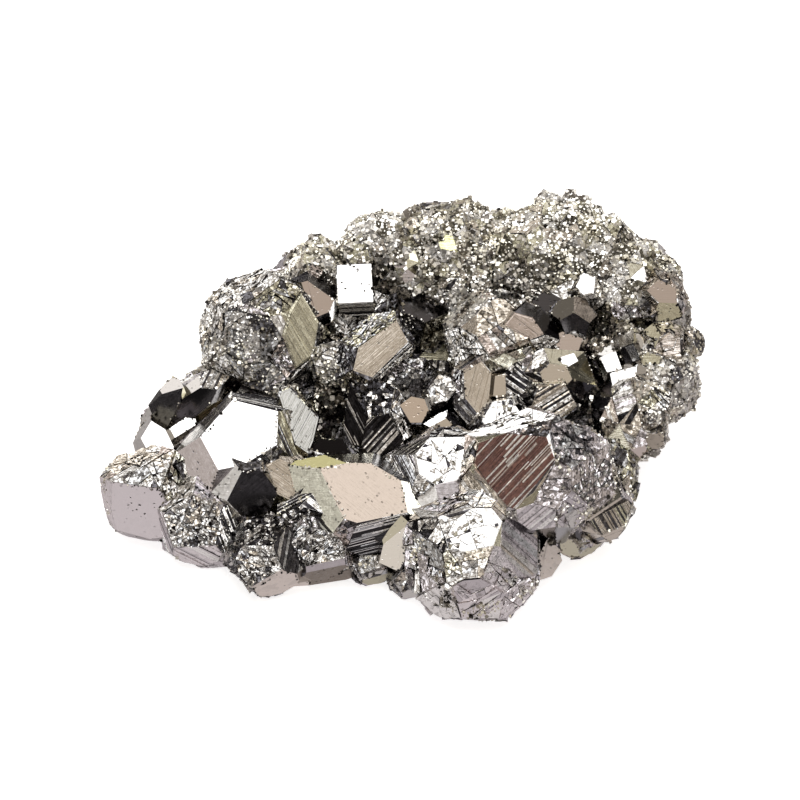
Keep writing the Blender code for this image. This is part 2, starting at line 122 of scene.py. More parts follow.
# %% Node helpers
class Nodes:
    """A tree of nodes, and short ways to add to it."""

    def __init__(self, tree):
        self.tree = tree

    def fill(self, node, inputs):
        """Joins a node's inputs to sockets, or gives them plain values."""
        for label, value in inputs.items():
            for item in value if isinstance(value, list) else [value]:
                if isinstance(item, bpy.types.NodeSocket):
                    self.tree.links.new(item, node.inputs[label])
                else:
                    node.inputs[label].default_value = item
        return node

    def add(self, kind, inputs=None, **properties):
        node = self.tree.nodes.new(kind)
        for name, value in properties.items():
            setattr(node, name, value)
        return self.fill(node, inputs or {})

    def math(self, operation, first, second=0.0, clamp=False):
        inputs = {0: first, 1: second}
        return self.add("ShaderNodeMath", inputs, operation=operation, use_clamp=clamp).outputs[0]

    def vector(self, operation, first, second=None, scale=None):
        inputs = {0: first, 1: second, "Scale": scale}
        given = {label: value for label, value in inputs.items() if value is not None}
        return self.add("ShaderNodeVectorMath", given, operation=operation).outputs[0]

    def remapped(self, value, low, high, to_low=0.0, to_high=1.0):
        """A number that goes from to_low to to_high as value goes from low to high."""
        return self.add("ShaderNodeMapRange", {
            "Value": value, "From Min": low, "From Max": high, "To Min": to_low, "To Max": to_high,
        }).outputs[0]

    def noise(self, vector, scale, detail=2.0, rough=0.5):
        inputs = {"Vector": vector, "Scale": scale, "Detail": detail, "Roughness": rough}
        return self.add("ShaderNodeTexNoise", inputs).outputs["Fac"]

    def cells(self, vector, scale):
        return self.add("ShaderNodeTexVoronoi", {"Vector": vector, "Scale": scale}).outputs

    def mixed(self, share, one, two, blend="MIX"):
        """Goes from colour one to colour two as share goes from 0 to 1."""
        inputs = {"Factor": share, "A": one, "B": two}
        mix = self.add("ShaderNodeMix", inputs, data_type="RGBA", blend_type=blend)
        return mix.outputs["Result"]

    def ramp(self, value, stops):
        """A colour from these (place, colour) stops, with places from 0 to 1."""
        node = self.add("ShaderNodeValToRGB", {"Fac": value})
        elements = node.color_ramp.elements
        for number, (spot, colour) in enumerate(stops):
            step = elements[number] if number < 2 else elements.new(spot)
            step.position = spot
            step.color = (*colour, 1)
        return node.outputs["Color"]

    def attribute(self, name, output="Fac"):
        return self.add("ShaderNodeAttribute", attribute_name=name).outputs[output]

    def by_ray(self, mirrored, seen):
        """One shader for what the metal mirrors, another for what the camera sees itself."""
        ray = self.add("ShaderNodeLightPath").outputs["Is Camera Ray"]
        inputs = {0: ray, 1: mirrored.outputs[0], 2: seen.outputs[0]}
        return self.add("ShaderNodeMixShader", inputs).outputs[0]


# %% [markdown]
# ## Studio
# A metal shows nothing but what stands round it, so the light is most of its look.
# Faces that lean back reflect the zenith, where a soft box makes them white. Faces at
# 45 degrees reflect the beige wall, steep ones the dark room, and upright ones the table.
# The camera itself sees a plain pale studio.

# %% Studio light
# The room's colour by height, from -1 straight down to 1 straight up.
SKY = [
    (-1.0, (0.30, 0.30, 0.32)),
    (0.00, (0.06, 0.057, 0.057)),
    (0.45, (0.12, 0.112, 0.106)),
    (0.62, (0.36, 0.32, 0.28)),
    (0.72, (0.66, 0.60, 0.53)),
    (0.84, (0.78, 0.73, 0.67)),
    (0.90, (2.7, 2.72, 2.78)),
    (1.0, (3.1, 3.12, 3.2)),
]
STRIP_TONE = (1.35, 1.30, 1.28, 1.0)
STRIP_EVERY, STRIP_WIDTH = math.radians(27), math.radians(10)
STRIP_FROM_FRONT = math.radians(24)
STRIP_SOFTNESS = 0.02
# The heights of a strip's two ends, and over how much height each fades.
STRIP_ENDS = ((-0.08, 0.04), (0.62, -0.10))
STUDIO_WHITE = (1.0, 1.0, 1.0, 1.0)


def strip_share(nodes, way):
    """Where upright strip lights stand: all round the specimen, but for the camera's side."""
    turn = nodes.math("ARCTAN2", way["X"], nodes.math("MULTIPLY", way["Y"], -1.0))
    past_front = nodes.math("SUBTRACT", nodes.math("ABSOLUTE", turn), STRIP_FROM_FRONT)
    swing = nodes.math("PINGPONG", past_front, STRIP_EVERY / 2)
    edge = STRIP_WIDTH / 2
    lit = nodes.remapped(swing, edge + STRIP_SOFTNESS, edge - STRIP_SOFTNESS)
    for end, fade in STRIP_ENDS:
        lit = nodes.math("MULTIPLY", lit, nodes.remapped(way["Z"], end, end + fade))
    return nodes.math("MULTIPLY", lit, nodes.remapped(past_front, 0.0, STRIP_SOFTNESS))


def build_world():
    world = bpy.data.worlds.new("studio")
    world.use_nodes = True
    world.node_tree.nodes.clear()
    nodes = Nodes(world.node_tree)
    direction = nodes.add("ShaderNodeTexCoord").outputs["Generated"]
    way = nodes.add("ShaderNodeSeparateXYZ", {0: direction}).outputs
    stops = [((height + 1) / 2, colour) for height, colour in SKY]
    room = nodes.ramp(nodes.remapped(way["Z"], -1, 1), stops)
    lit = nodes.mixed(strip_share(nodes, way), room, STRIP_TONE, "LIGHTEN")
    mirrored = nodes.add("ShaderNodeBackground", {"Color": lit})
    seen = nodes.add("ShaderNodeBackground", {"Color": STUDIO_WHITE})
    nodes.add("ShaderNodeOutputWorld", {"Surface": nodes.by_ray(mirrored, seen)})
    bpy.context.scene.world = world


build_world()
bpy.context.scene.view_settings.view_transform = "Standard"
print("studio nodes:", len(bpy.context.scene.world.node_tree.nodes))

# %% [markdown]
# ## Table
# The specimen stands on a pale table that only its shadow tells from the studio. A plain
# white plane would fill every steep facet with light. So the metal sees a table that is
# pale close by and dark further out, and only the camera sees it white all over.

# %% Table
FLOOR_SIZE = 3.0
FLOOR_NEAR = (0.64, 0.60, 0.61, 1)
FLOOR_FAR = (0.02, 0.02, 0.02, 1)
FLOOR_LIT_RADIUS = (0.06, 0.22)
FLOOR_PAINT = (0.9, 0.89, 0.88, 1)
FLOOR_GLOW = 0.72


def floor_material():
    material = bpy.data.materials.new("pale_table")
    material.use_nodes = True
    material.node_tree.nodes.clear()
    nodes = Nodes(material.node_tree)
    spot = nodes.add("ShaderNodeTexCoord").outputs["Object"]
    away = nodes.add("ShaderNodeVectorMath", {0: spot}, operation="LENGTH").outputs["Value"]
    tone = nodes.mixed(nodes.remapped(away, *FLOOR_LIT_RADIUS), FLOOR_NEAR, FLOOR_FAR)
    mirrored = nodes.add("ShaderNodeEmission", {"Color": tone})
    paint = nodes.add("ShaderNodeBsdfDiffuse", {"Color": FLOOR_PAINT}).outputs[0]
    glow = nodes.add("ShaderNodeEmission", {"Strength": FLOOR_GLOW}).outputs[0]
    seen = nodes.add("ShaderNodeAddShader", {0: paint, 1: glow})
    nodes.add("ShaderNodeOutputMaterial", {"Surface": nodes.by_ray(mirrored, seen)})
    return material


corners = ((-1, -1), (1, -1), (1, 1), (-1, 1))
top = bpy.data.meshes.new("table")
top.from_pydata([(x * FLOOR_SIZE / 2, y * FLOOR_SIZE / 2, 0) for x, y in corners], [], [(0, 1, 2, 3)])
top.materials.append(floor_material())
floor = shown("table", top)
print("table, m:", FLOOR_SIZE)

# %% [markdown]
# ## Crystal facets
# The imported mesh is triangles. Merging its points and dissolving the lines between
# triangles that lie in one plane gives back the crystals' real facets, each one face.

# %% Facets
MERGE_DISTANCE = 0.002 * MM
FLAT_WITHIN = math.radians(0.8)


def facets_of(node):
    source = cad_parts[node].data
    skin = bmesh.new()
    points = [skin.verts.new(vert.co) for vert in source.vertices]
    for face in source.polygons:
        skin.faces.new([points[number] for number in face.vertices])
    bmesh.ops.remove_doubles(skin, verts=skin.verts[:], dist=MERGE_DISTANCE)
    bmesh.ops.dissolve_limit(
        skin, angle_limit=FLAT_WITHIN, verts=skin.verts[:], edges=skin.edges[:])
    skin.normal_update()
    return skin


skin = facets_of(NODE)
print("facets:", len(skin.faces), "of", len(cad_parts[NODE].data.polygons), "triangles")

# %% [markdown]
# ## Finishes
# Each crystal grew its own surface. Some faces are mirrors, some carry growth bands, some
# are broken into shards or blocks. A finish says how a facet is split, how far its pieces
# tilt and stand out, and how much fine line and pitting the material adds.

# %% Finishes
# A facet is cut into pieces of about size, in mm. Each is tilted by up to tilt degrees and
# stands up to proud mm out. chance is the share of pieces that a later cut goes on with.
# Pieces that are varied each take a tint of their own.
Cut = namedtuple("Cut", "split size tilt proud chance varied", defaults=[1, True])

# dull is the roughness. lines, pits and flecks are shares of the material's fine relief,
# seams the share of dark rims, swell how many mm the middle bulges, and grains whether a
# crust grows.
Finish = namedtuple("Finish", "cuts dull lines pits flecks seams swell grains", defaults=[0, 0, False])
FINISHES = {
    "mirror": Finish([], 0.08, 0.05, 0.3, 0),
    "satin": Finish([], 0.42, 0.3, 0.5, 0.15),
    "etched": Finish([], 0.14, 0.15, 0.9, 0.04),
    "scratched": Finish([], 0.14, 0.35, 0.4, 0.03),
    "pitted": Finish([], 0.10, 0.03, 1.0, 0.1),
    "banded": Finish([Cut("bands", 1.1, 1.2, 0.03)], 0.14, 0.3, 0.4, 0.04, 0.15),
    "layered": Finish([Cut("bands", 0.7, 8, 0.12)], 0.22, 0.4, 0.4, 0.3, 0.25),
    "conchoidal": Finish([Cut("bands", 0.9, 5, 0.04)], 0.20, 0.6, 0.3, 0.06, 0.1, 0.3),
    "terraced": Finish([Cut("bands", 0.34, 12, 0.10)], 0.16, 0.5, 0.2, 0.35, 0.3),
    "strokes": Finish(
        [Cut("bands", 0.30, 4, 0.04), Cut("blocks", 1.4, 6, 0.03, 0.9)], 0.12, 0.35, 0.2, 0.2),
    "chipped": Finish(
        [Cut("shards", 2.0, 3, 0.05, 1, False), Cut("shards", 0.6, 20, 0.14, 0.4)],
        0.12, 0.15, 0.3, 0.3, 0.3),
    "mosaic": Finish(
        [Cut("shards", 3.0, 10, 0.25), Cut("shards", 1.1, 13, 0.14, 0.45)], 0.18, 0.35, 0.6, 0.4, 0.2),
    "broken": Finish(
        [Cut("shards", 2.0, 15, 0.22), Cut("shards", 0.9, 15, 0.10, 0.35)], 0.16, 0.4, 0.7, 0.7, 0.25),
    "blocky": Finish(
        [Cut("blocks", 1.7, 10, 0.25), Cut("shards", 0.7, 16, 0.16, 0.6)], 0.16, 0.3, 0.5, 0.7, 0.4),
    "rubble": Finish(
        [Cut("shards", 1.0, 20, 0.20), Cut("shards", 0.5, 18, 0.10, 0.3)], 0.15, 0.4, 0.5, 1.0, 0.3),
    "worn": Finish([Cut("shards", 1.5, 3, 0.03, 1, False)], 0.42, 0.3, 1.0, 0.3, 0, 0.35),
    "crust": Finish([Cut("shards", 4.5, 8, 0.15)], 0.50, 0.4, 0.8, 1.0, 0.6, 0.1, True),
    "fine_crust": Finish([Cut("shards", 2.4, 12, 0.20)], 0.30, 0.4, 0.8, 1.0, 0.6, 0.2, True),
    "underside": Finish([], 0.40, 0.10, 0.8, 0),
}
# jet and black on whole facets, and in the palettes below, paint facets dark where they mirror the dark
# room: painted reflection. On the rims of pieces, black is the dark of cracks.
TINTS = {
    "silver": (0.62, 0.60, 0.57),
    "tan": (0.60, 0.54, 0.46),
    "peach": (0.64, 0.54, 0.45),
    "soft_peach": (0.27, 0.225, 0.185),
    "soft_grey": (0.27, 0.262, 0.24),
    "rose": (0.60, 0.52, 0.47),
    "red_brown": (0.27, 0.155, 0.135),
    "olive": (0.58, 0.55, 0.42),
    "mauve": (0.60, 0.56, 0.57),
    "steel": (0.48, 0.48, 0.48),
    "cream": (0.68, 0.66, 0.55),
    "lemon": (0.80, 0.79, 0.45),
    "soft_tan": (0.30, 0.26, 0.22),
    "white": (0.92, 0.90, 0.87),
    "pale_mauve": (0.82, 0.77, 0.77),
    "pale_tan": (0.82, 0.75, 0.69),
    "umber": (0.16, 0.145, 0.11),
    "jet": (0.03, 0.028, 0.03),
    "black": (0.10, 0.095, 0.10),
}
TINT_NAMES = list(TINTS)
SEAM_TINT = TINT_NAMES.index("black")

# Facets of more than one tint: each piece takes one of these, by weight.
PALETTES = {
    "bright_mix": {"silver": 8, "steel": 1, "tan": 2, "black": 1},
    "grey_mix": {"silver": 3, "mauve": 5, "steel": 2, "tan": 1, "black": 1},
    "dark_mix": {"black": 5, "steel": 2, "silver": 2},
    "zebra": {"jet": 1, "silver": 1},
    "streaked": {"red_brown": 8, "rose": 1, "white": 2},
    "pale_mix": {"pale_mauve": 7, "white": 2, "mauve": 2},
    "olive_mix": {"olive": 4, "steel": 1, "silver": 2, "black": 1},
    "tan_mix": {"tan": 4, "silver": 2, "rose": 1, "black": 1},
    "mauve_mix": {"mauve": 7, "silver": 2, "steel": 2},
    "mauve_tan": {"mauve": 5, "tan": 3, "silver": 1, "steel": 1},
    "mauve_dark": {"mauve": 4, "steel": 2, "black": 3},
    "tan_rose": {"tan": 4, "rose": 4, "silver": 1},
    "tan_dark": {"tan": 5, "olive": 1, "black": 2},
    "rose_dark": {"rose": 3, "mauve": 3, "silver": 2, "black": 2},
    "grey_dark": {"steel": 3, "silver": 4, "mauve": 2, "black": 2},
    "green_grey": {"olive": 3, "silver": 3, "steel": 2, "black": 1},
    "cream_mix": {"cream": 5, "silver": 3, "tan": 1, "olive": 1, "black": 1},
    "zebra_mauve": {"jet": 1, "silver": 1, "mauve": 1},
    "zebra_tan": {"jet": 1, "tan": 2, "silver": 1},
    "black_lines": {"jet": 5, "white": 1, "steel": 1},
    "black_steel": {"black": 3, "steel": 1},
    "white_lines": {"silver": 5, "jet": 2},
    "white_cracked": {"silver": 9, "umber": 1, "jet": 1},
    # In crust_mix, umber darkens the skin between the grains: painted shade in the gaps.
    "crust_mix": {"silver": 3, "tan": 1, "olive": 2, "umber": 3},
}


def pick_tint(name, rng):
    """A tint's number, after drawing one from a palette."""
    if name in PALETTES:
        choices = PALETTES[name]
        name = rng.choices(list(choices), list(choices.values()))[0]
    return TINT_NAMES.index(name)


def main_tint(name):
    """The number of a tint, or of the tint that a palette has most of."""
    if name in PALETTES:
        name = max(PALETTES[name], key=PALETTES[name].get)
    return TINT_NAMES.index(name)


# %% [markdown]
# ## Crystals and their finishes
# A crystal is mostly finished alike all over. A material for each of the three thousand
# facets would be endless work, so it is enough to say where a crystal is and what its
# faces are like. Facets then look for the crystal that they belong to.

# %% Crystals and their finishes
# A row has a crystal's name, its middle and reach, in mm, its faces' finish and tint, and
# the angle at which bands cross the view. Where one face differs, the way it looks, in
# degrees, and its finish and tint come last.
CRYSTALS = """
great_pentagon -17.9 -6.7 8.4 8.6 mosaic mauve -58 -5 64 mirror silver
black_table -17.7 -9.6 8.4 5.2 etched mauve 40 12 20 etched black
tan_step -13.5 -9.4 8.3 4.4 banded tan -28
plate -12.0 -3.5 10.5 4.6 broken olive_mix 62 20 58 banded soft_grey
dark_left_cube -26.7 -0.1 9.8 3.4 mirror tan 40 -12 20 etched black
dark_right_cube -23.5 0.3 10.1 4.0 mirror olive 38 -6 22 mirror black
left_lump -28.5 -10.7 5.0 6.5 worn mauve 0
left_tail -22.6 -14.2 2.8 5.0 layered mauve_mix -28
white_strip -25.5 -4.1 6.4 3.6 mirror silver 0
white_hexagon -27.3 -6.7 5.8 4.6 mirror olive 0 -14 62 mirror silver
striped_fold -23.0 -13.7 4.8 5.4 terraced mauve -52
white_low_face -8.8 -12.3 7.9 4.4 broken dark_mix 35
peach_table -4.3 -11.9 8.0 8.2 mirror silver -12
grey_tooth -0.1 -15.7 6.1 4.6 banded tan 70
white_crown 4.9 -8.9 9.5 6.0 mosaic mauve_tan -20 0 64 chipped white_cracked
front_ball 8.1 -17.3 7.1 8.2 mosaic mauve_mix -40
right_ball 16.1 -9.9 11.0 8.6 mosaic mauve_tan 47
white_knob 11.8 -2.9 13.2 4.0 broken dark_mix 40
tan_button 1.9 -1.2 12.3 2.7 mirror silver 0
olive_button 4.8 -3.4 11.7 2.5 mirror olive 0
dark_scored -1.9 -3.8 9.3 6.2 blocky dark_mix 55
dark_slab 0.2 2.1 12.6 4.0 banded olive 10
tan_tall 9.1 1.3 14.5 4.4 broken tan_mix 75
tan_square 11.2 1.5 14.7 2.2 banded silver 80
tan_octagon 17.8 2.5 15.1 3.8 terraced zebra -35
striped_wedge 17.0 0.2 13.0 4.4 terraced zebra -38
striped_slab 13.8 1.6 13.5 3.6 terraced zebra -70
granular_ball -15.8 7.9 14.6 7.9 fine_crust grey_dark 25
small_granular_ball -7.9 4.1 14.0 2.8 fine_crust silver 0 0 40 fine_crust bright_mix
white_cube -5.1 12.8 18.1 3.8 terraced zebra 85
tan_cube -3.2 5.3 15.4 5.0 broken bright_mix 42
speckled_face 5.0 0.6 13.3 3.1 broken dark_mix 20 -10 60 etched silver
shelf_face -10.1 11.5 17.8 3.6 broken rose 20
hill_ball 10.9 7.2 16.0 5.9 fine_crust tan_mix 60 15 55 broken bright_mix
hill_rose_face 14.2 8.4 18.4 3.8 broken tan_mix -60
hollow_tan_face 19.3 6.4 14.9 2.9 mirror olive 0 0 47 mirror rose
hollow_dark_face 20.1 9.2 17.3 2.9 broken dark_mix 0
small_white_low 19.5 4.2 16.9 1.7 mirror silver 0
small_white_left 24.5 3.6 13.9 2.5 mirror silver 0
small_white_right 25.9 1.6 13.3 3.1 mirror silver 0
small_black 26.3 6.1 16.0 2.5 mirror silver 0
right_rose_face 30.0 12.2 17.0 3.6 broken tan_mix 60
right_tan_face 30.6 6.1 13.7 3.4 broken tan_mix -40
right_low_face 22.9 -13.2 6.1 3.8 broken grey_mix 30
right_blade 16.2 -17.8 3.4 3.2 satin silver 0
white_top_facet 21.6 12.7 18.9 2.4 broken silver 0
right_grey_block 21.0 -10.5 8.0 5.6 broken grey_mix 60
right_front 24.1 -8.5 7.0 4.4 broken olive_mix 70 30 35 terraced olive_mix
front_left_block -15.3 -17.8 4.6 4.8 blocky bright_mix 20 -15 25 blocky zebra
front_middle_block -9.4 -16.2 5.0 4.7 blocky bright_mix 40
low_middle_block -3.4 -18.1 2.6 3.2 broken grey_dark 15
front_ledge -11.3 -19.5 0.7 4.6 satin tan 0
low_front_block 0.9 -20.4 2.0 2.2 broken dark_mix 0
right_low_block 20.4 -14.7 3.4 3.0 broken tan_dark 0
ridge_far_left -9.4 13.6 15.5 4.3 crust crust_mix 0
ridge_left -1.0 16.7 16.5 6.3 crust crust_mix 0
ridge_middle 7.0 17.0 17.3 6.6 crust crust_mix 0
ridge_right 18.0 16.6 18.0 8.2 crust crust_mix 0
shoulder_right 25.7 12.7 15.0 7.3 crust crust_mix 0
right_end 30.3 2.8 9.5 6.2 fine_crust bright_mix 0
right_bridge 25.8 5.4 13.2 3.8 fine_crust tan_dark 0
right_middle 26.5 -2.0 10.5 5.3 fine_crust tan_dark 0
"""
Crystal = namedtuple(
    "Crystal", "name right up height reach sides side_tint bands turn rise main tint", defaults=[None] * 4)
crystals_placed = [
    Crystal(*(float(word) if word[-1].isdigit() else word for word in row.split()))
    for row in CRYSTALS.strip().split("\n")]
REACH_MARGIN = 1.12
print("crystals:", len(crystals_placed))


def crystal_at(point):
    """The crystal whose middle is nearest to a point, measured in that crystal's reach."""
    best, share = None, REACH_MARGIN
    for crystal in crystals_placed:
        middle = place(crystal.right, crystal.up, crystal.height)
        away = (point - middle).length / (crystal.reach * MM)
        if away < share:
            best, share = crystal, away
    return best


# %% [markdown]
# ## Faces of their own
# Many faces differ from the rest of their crystal. They could be listed by number, but
# numbers change with every change to the model. So they are listed by where they are
# seen, and a look along the view at that place finds the face. Some faces are stepped so
# finely that they throw the light as if they looked elsewhere.

# %% Faces of their own
# The ways that such steps look.
STEPS_LOOK = {
    "own": None,
    "sky": pointing(0, 62),
    "mixed": pointing(0, 51),
    "wall": pointing(0, 46),
    "beige": pointing(0, 43),
    "grey": pointing(0, 40),
}

# A row has a finish and a tint, then right,up in mm where the photo shows a face with them.
# A single number is the angle of the bands of the faces after it, and a word their steps.
FACES = """
banded black -30 -9,13.5 -11.5,14.1 0 -9.6,-0.8
banded black_lines -62 26.5,5.5
banded cream sky 80 1.2,-11.3 wall -60 27.1,15.3 10 25.2,-4.3 80 17.5,5
banded mauve -20 -18,-13.5
banded mauve_mix -30 1.1,-22.2
banded olive -80 -13.8,-0.4 11,-15.7 -60 -11.5,13 0 4.5,5.4 20 9.7,-4.3 40 -14.8,-12.4 -14,-11.8
banded olive 42 -22.4,-1 55 14.7,-11.3
banded rose -38 14.2,8.5
banded silver 40 25.8,3 42 -22.5,-1.9 50 -22.5,-2.7 60 -11.8,0.5
banded soft_tan 70 21.3,10.6
banded tan -35 -14,-9 28 19.3,-1.3 30 -24.8,-3.8 42 -21.3,-0.7 60 8,8.5 75 9,1 wall 42 -2.5,5.5
banded tan_dark 20 22.4,-15.7
banded tan_mix 20 24.5,-15.4 35 8,4.4
broken black 1.5,8.3
broken bright_mix -60 -15.5,-8 0 0.3,-20.7 12.7,-13 21.8,-14.8 1.8,-3.2 4.7,1.1 25.2,1.7 mixed -30,-9
broken bright_mix mixed 2.4,-9.8 6.5,-17.7 sky -50 -27.5,-7.5 40 -18,13 wall 0 -0.2,-1.8 16.5,6.7
broken cream_mix 26.2,-13.3 mixed 6,-19 wall -26,-8
broken dark_mix -60 0.7,7.8 -40 15,0.6 0 -19.3,1.7 -14.7,-6.9 -5,-19.9 -0.8,-19.9 -0.5,-21.5 -9.5,-6.2
broken dark_mix 0.6,-17.7 0.5,-18.8 0.5,-19.2 7.4,-2.9 8.8,-3.1 20.2,-1.7 23,-3.2 20 -17.5,-7.4
broken dark_mix 28 -15.2,-6.3 70 -18,-15 -19,-16.5 grey -35 -11,1.7 0 -13,2 wall 10 5.5,-3.8
broken mauve_dark 60 20,-5
broken olive_mix grey -15,11.5 wall 29,0
broken silver sky -5.4,9.6 60 7.4,6.3
broken tan_dark -8.5,7.3
broken tan_mix mixed 80 8,-6
broken umber grey 4,7.7
chipped bright_mix 10.5,4.1
chipped mauve_mix beige 60 22,-9
chipped white_cracked -20 4.5,-7 15 8.5,-15 45 11.5,-1.3 sky 32 12.5,-2.7 wall 0 -25.5,-11.3
conchoidal olive beige -60 -11.5,8
conchoidal pale_tan beige 31.1,6.9 31.3,5.5
etched black -1.2,-8 -2.2,-15.5 20.3,8.7
etched lemon mixed 5.2,18.6 5.7,18
etched mauve -20.5,-8.5 beige 0.2,15.9 0.6,14.5 wall -60 -23,-7
etched olive -5.5,-6.6 1.4,16.7 1,16 1.5,15.3 beige -40 31.2,10.3 wall 0 29.2,7.8 29,4.8
etched pale_mauve -30,-13
etched white mixed 28,14.5
fine_crust bright_mix 7.5,10 6,13 wall -20,4.5 -22,8
fine_crust grey_dark wall -16,3
layered dark_mix grey 80 -13,-17
layered mauve_mix -68 -27,-15 -15 -20.7,-18.7
layered mauve_tan -42 14,-18 wall -25 27.7,-4.5 26.5,-3.8
layered olive_mix -62 -14,9.2 wall 60 24.8,-5.8 25.7,-7
layered pale_mix -28 -23,-17.5 40 16,-13
layered tan_mix wall -70 24.2,-1.4 -52 9,-10
layered zebra_mauve wall 20 26,0
layered zebra_tan wall 60 26.7,-2
mirror black -20.7,1.1 -10.3,-6 -9.8,-4.3 -9.3,-14 14,-14.4 17.5,-15.3 24.3,-12.3 20.5,-15.4 16.2,-16.6
mirror black 6,-0.3 4.5,-1 6.2,-2.2 2.5,11 1.8,5.4 -8.8,9.4 -7.6,13 14.6,10.4 12.2,12 17,8.7 22.3,8.3
mirror black 18.2,9 20.8,1.5 23,-0.5 23.5,1.2 22.6,-3.8 wall 17,11.4
mirror cream -11.5,-6 23.7,-11.4 wall -0.5,-14.7
mirror jet grey -8.6,-4.9
mirror lemon wall -9,-6.9
mirror mauve 21.5,6.3 22.4,-1.5
mirror olive 19.5,-17 23.5,3.5 21,3.5
mirror peach 1.5,-1
mirror rose -9.5,11.5 19.5,6.7 27.7,-5.8 30.5,12.5
mirror silver -26.5,1.8 -28.4,0.3 -24.5,1.5 -24.2,2.6 -25,-3 -26.3,-4.5 -2.3,-17.3 1.9,-7.8 6.5,-3.1
mirror silver 15.8,-18.5 0.8,-4.6 11.7,0.2 19.5,4.7 24.4,4.4 21.6,13.4 sky 4.2,-2.2 -7.7,10.5
mirror soft_grey 18.8,10.5
mirror tan 23.2,-12.5 11.5,1.6 10.5,1.6 18,3 wall 4.7,-2.9
mirror white wall -0.8,-17.5
mosaic black_steel 1.2,1.8
mosaic bright_mix 17.8,6.3 mixed 5.3,-14 sky 9.5,-11.5 wall 8.5,-18.5
mosaic cream_mix mixed 35 13,5
mosaic grey_dark -2.9,-19.7 wall -35 -3.5,-18.5
mosaic mauve_mix -5.9,-17.9 20 19.5,-12.5 wall -60 2.5,-19
mosaic mauve_tan wall 16,4.5 10 5,-12 45 17.5,-10.5
mosaic pale_mix 11,-19.5 9,-22.5 13.5,-22
mosaic tan_dark -50 8.8,-8.4
mosaic tan_mix mixed -31,-7.5 wall 10.8,8.4
mosaic tan_rose 12.6,9.6 10 12.5,6
mosaic white -20 4.5,-23
mosaic zebra wall -30 3.3,-14.7
pitted silver -5,13
rubble black_lines 60 -3,0.4
rubble bright_mix sky -75 -24,-14 30 -16.5,-18.5 -9,-17.5
rubble dark_mix -19,-18.5 -11.2,-18.5 -5,-18.6 wall -6.2,4.7
rubble green_grey sky -3.5,8.3
rubble grey_dark -5.2,-17.9 wall -11.5,-16.8 -11,-14.8 0,3.2 6.8,1.5
rubble mauve_mix wall 24.9,10.8 25.8,10.3 26.8,10.6 27.8,10.1 25.7,9.4
rubble rose_dark -6,-15 16,-3.3 wall -13.5,4.8
rubble tan_mix wall -7,7.5
rubble zebra -16,-15 -17.9,-20.6 wall -11.7,-13.1 13.7,-0.2
satin cream wall -9.5,-10.5
satin mauve -8.5,-18.9 wall 5.2,-10.4 6.5,-10.2
satin olive -2.8,-20.5 22,-17.3
satin pale_tan -15.5,-20.6 -15.2,-21.5 -11.1,-20.6 -11.2,-21.1 17.2,-18
satin silver -29.8,-3.3 -30.3,-5.2 -30,-2.3 -29.5,-1.5 -20.4,-17.8 wall -19.5,-9
satin soft_tan -8.6,-19.8 -6.5,-20.3 -11.3,-19.9
satin tan 29.3,-4.6
satin white wall 3,-11.2
scratched soft_peach -40 -4,-10.5
strokes black_lines -48 -8.6,-14.4 14 -4.2,-15 grey -62 -5.2,-2.5 48 -2,-4
strokes streaked 47 12.5,-8
terraced black_steel wall 85 -1.2,11.5
terraced bright_mix -60 22.2,4 -40 11.2,-12.7 -35 -19.3,-12.5 15 6.5,-12.8 wall 65 -22,2.5
terraced dark_mix -70 17,-4.8 wall -48 7.5,-1.3 -18 -17.7,1.2 -17.6,1.8
terraced grey_dark mixed -62 0.3,-7.5
terraced mauve_mix -38 -22,-11
terraced olive_mix wall -66 -13,-4
terraced tan beige -33 -12.4,-6.8
terraced tan_dark -60 24.5,-13.5 0 15.5,2
terraced tan_mix 55 15.2,-10
terraced white_lines -38 -10,-12 sky 3 -4.9,10.7 42 -1,4.2
terraced zebra -30 15.5,2.8 35 1.5,-5.5 60 5.3,2.9 75 5,-16.8 80 4.8,4 sky -70 -20.2,-15
terraced zebra wall -40 12.7,3.5 13.8,3.5 -35 13.3,1.7 -12 -16.5,0 28 -12.5,-11.8
terraced zebra_tan wall 32 17.5,-0.5
worn pale_mauve -33.6,-10.6 -33.5,-13
"""
FACE_WITHIN = 0.3 * MM


def listed_faces(skin):
    """The middles of the listed faces, and their looks."""
    seen = skin.copy()
    tree = BVHTree.FromBMesh(seen)
    seen.faces.ensure_lookup_table()
    found = []
    for row in FACES.strip().split("\n"):
        finish, tint, *words = row.split()
        bands, steps = 0, "own"
        for word in words:
            if word in STEPS_LOOK:
                steps = word
            elif "," not in word:
                bands = float(word)
            else:
                right, up = (float(number) for number in word.split(","))
                number = tree.ray_cast(place(right, up, 0) + TO_VIEWER, -TO_VIEWER)[2]
                middle = seen.faces[number].calc_center_median()
                found.append((middle, finish, tint, bands, steps))
    seen.free()
    return found


face_looks = listed_faces(skin)
print("faces with a look of their own:", len(face_looks))


def own_look(point):
    """The look that is listed for the face with this middle, or None."""
    found = min(face_looks, key=lambda look: (look[0] - point).length)
    return found[1:] if (found[0] - point).length < FACE_WITHIN else None


# %% [markdown]
# ## A facet's finish
# A facet takes its own look, if it is listed, or else its crystal's. What belongs to no
# crystal is mostly at the back. The photo doesn't show it, so its finish goes from patch
# to patch by a noise in space, with a crust high up, as on the side that is seen.

# %% A facet's finish
UNDERSIDE_WITHIN = 0.01 * MM
LOOKS_DOWN = -0.9
SAME_WAY = 0.985
UNLISTED = (("mosaic", "bright_mix"), ("banded", "silver"), ("broken", "grey_mix"),
            ("crust", "silver"), ("crust", "tan_mix"), ("mosaic", "grey_mix"))
PATCH_SIZE = 7 * MM
CRUST_ABOVE = 14 * MM


def seen_along(normal, degrees):
    """The direction in a face that is seen to run at this angle to the right."""
    angle = math.radians(degrees)
    seen = VIEW_RIGHT * math.cos(angle) + VIEW_UP * math.sin(angle)
    return normal.cross(seen.cross(TO_VIEWER)).normalized()


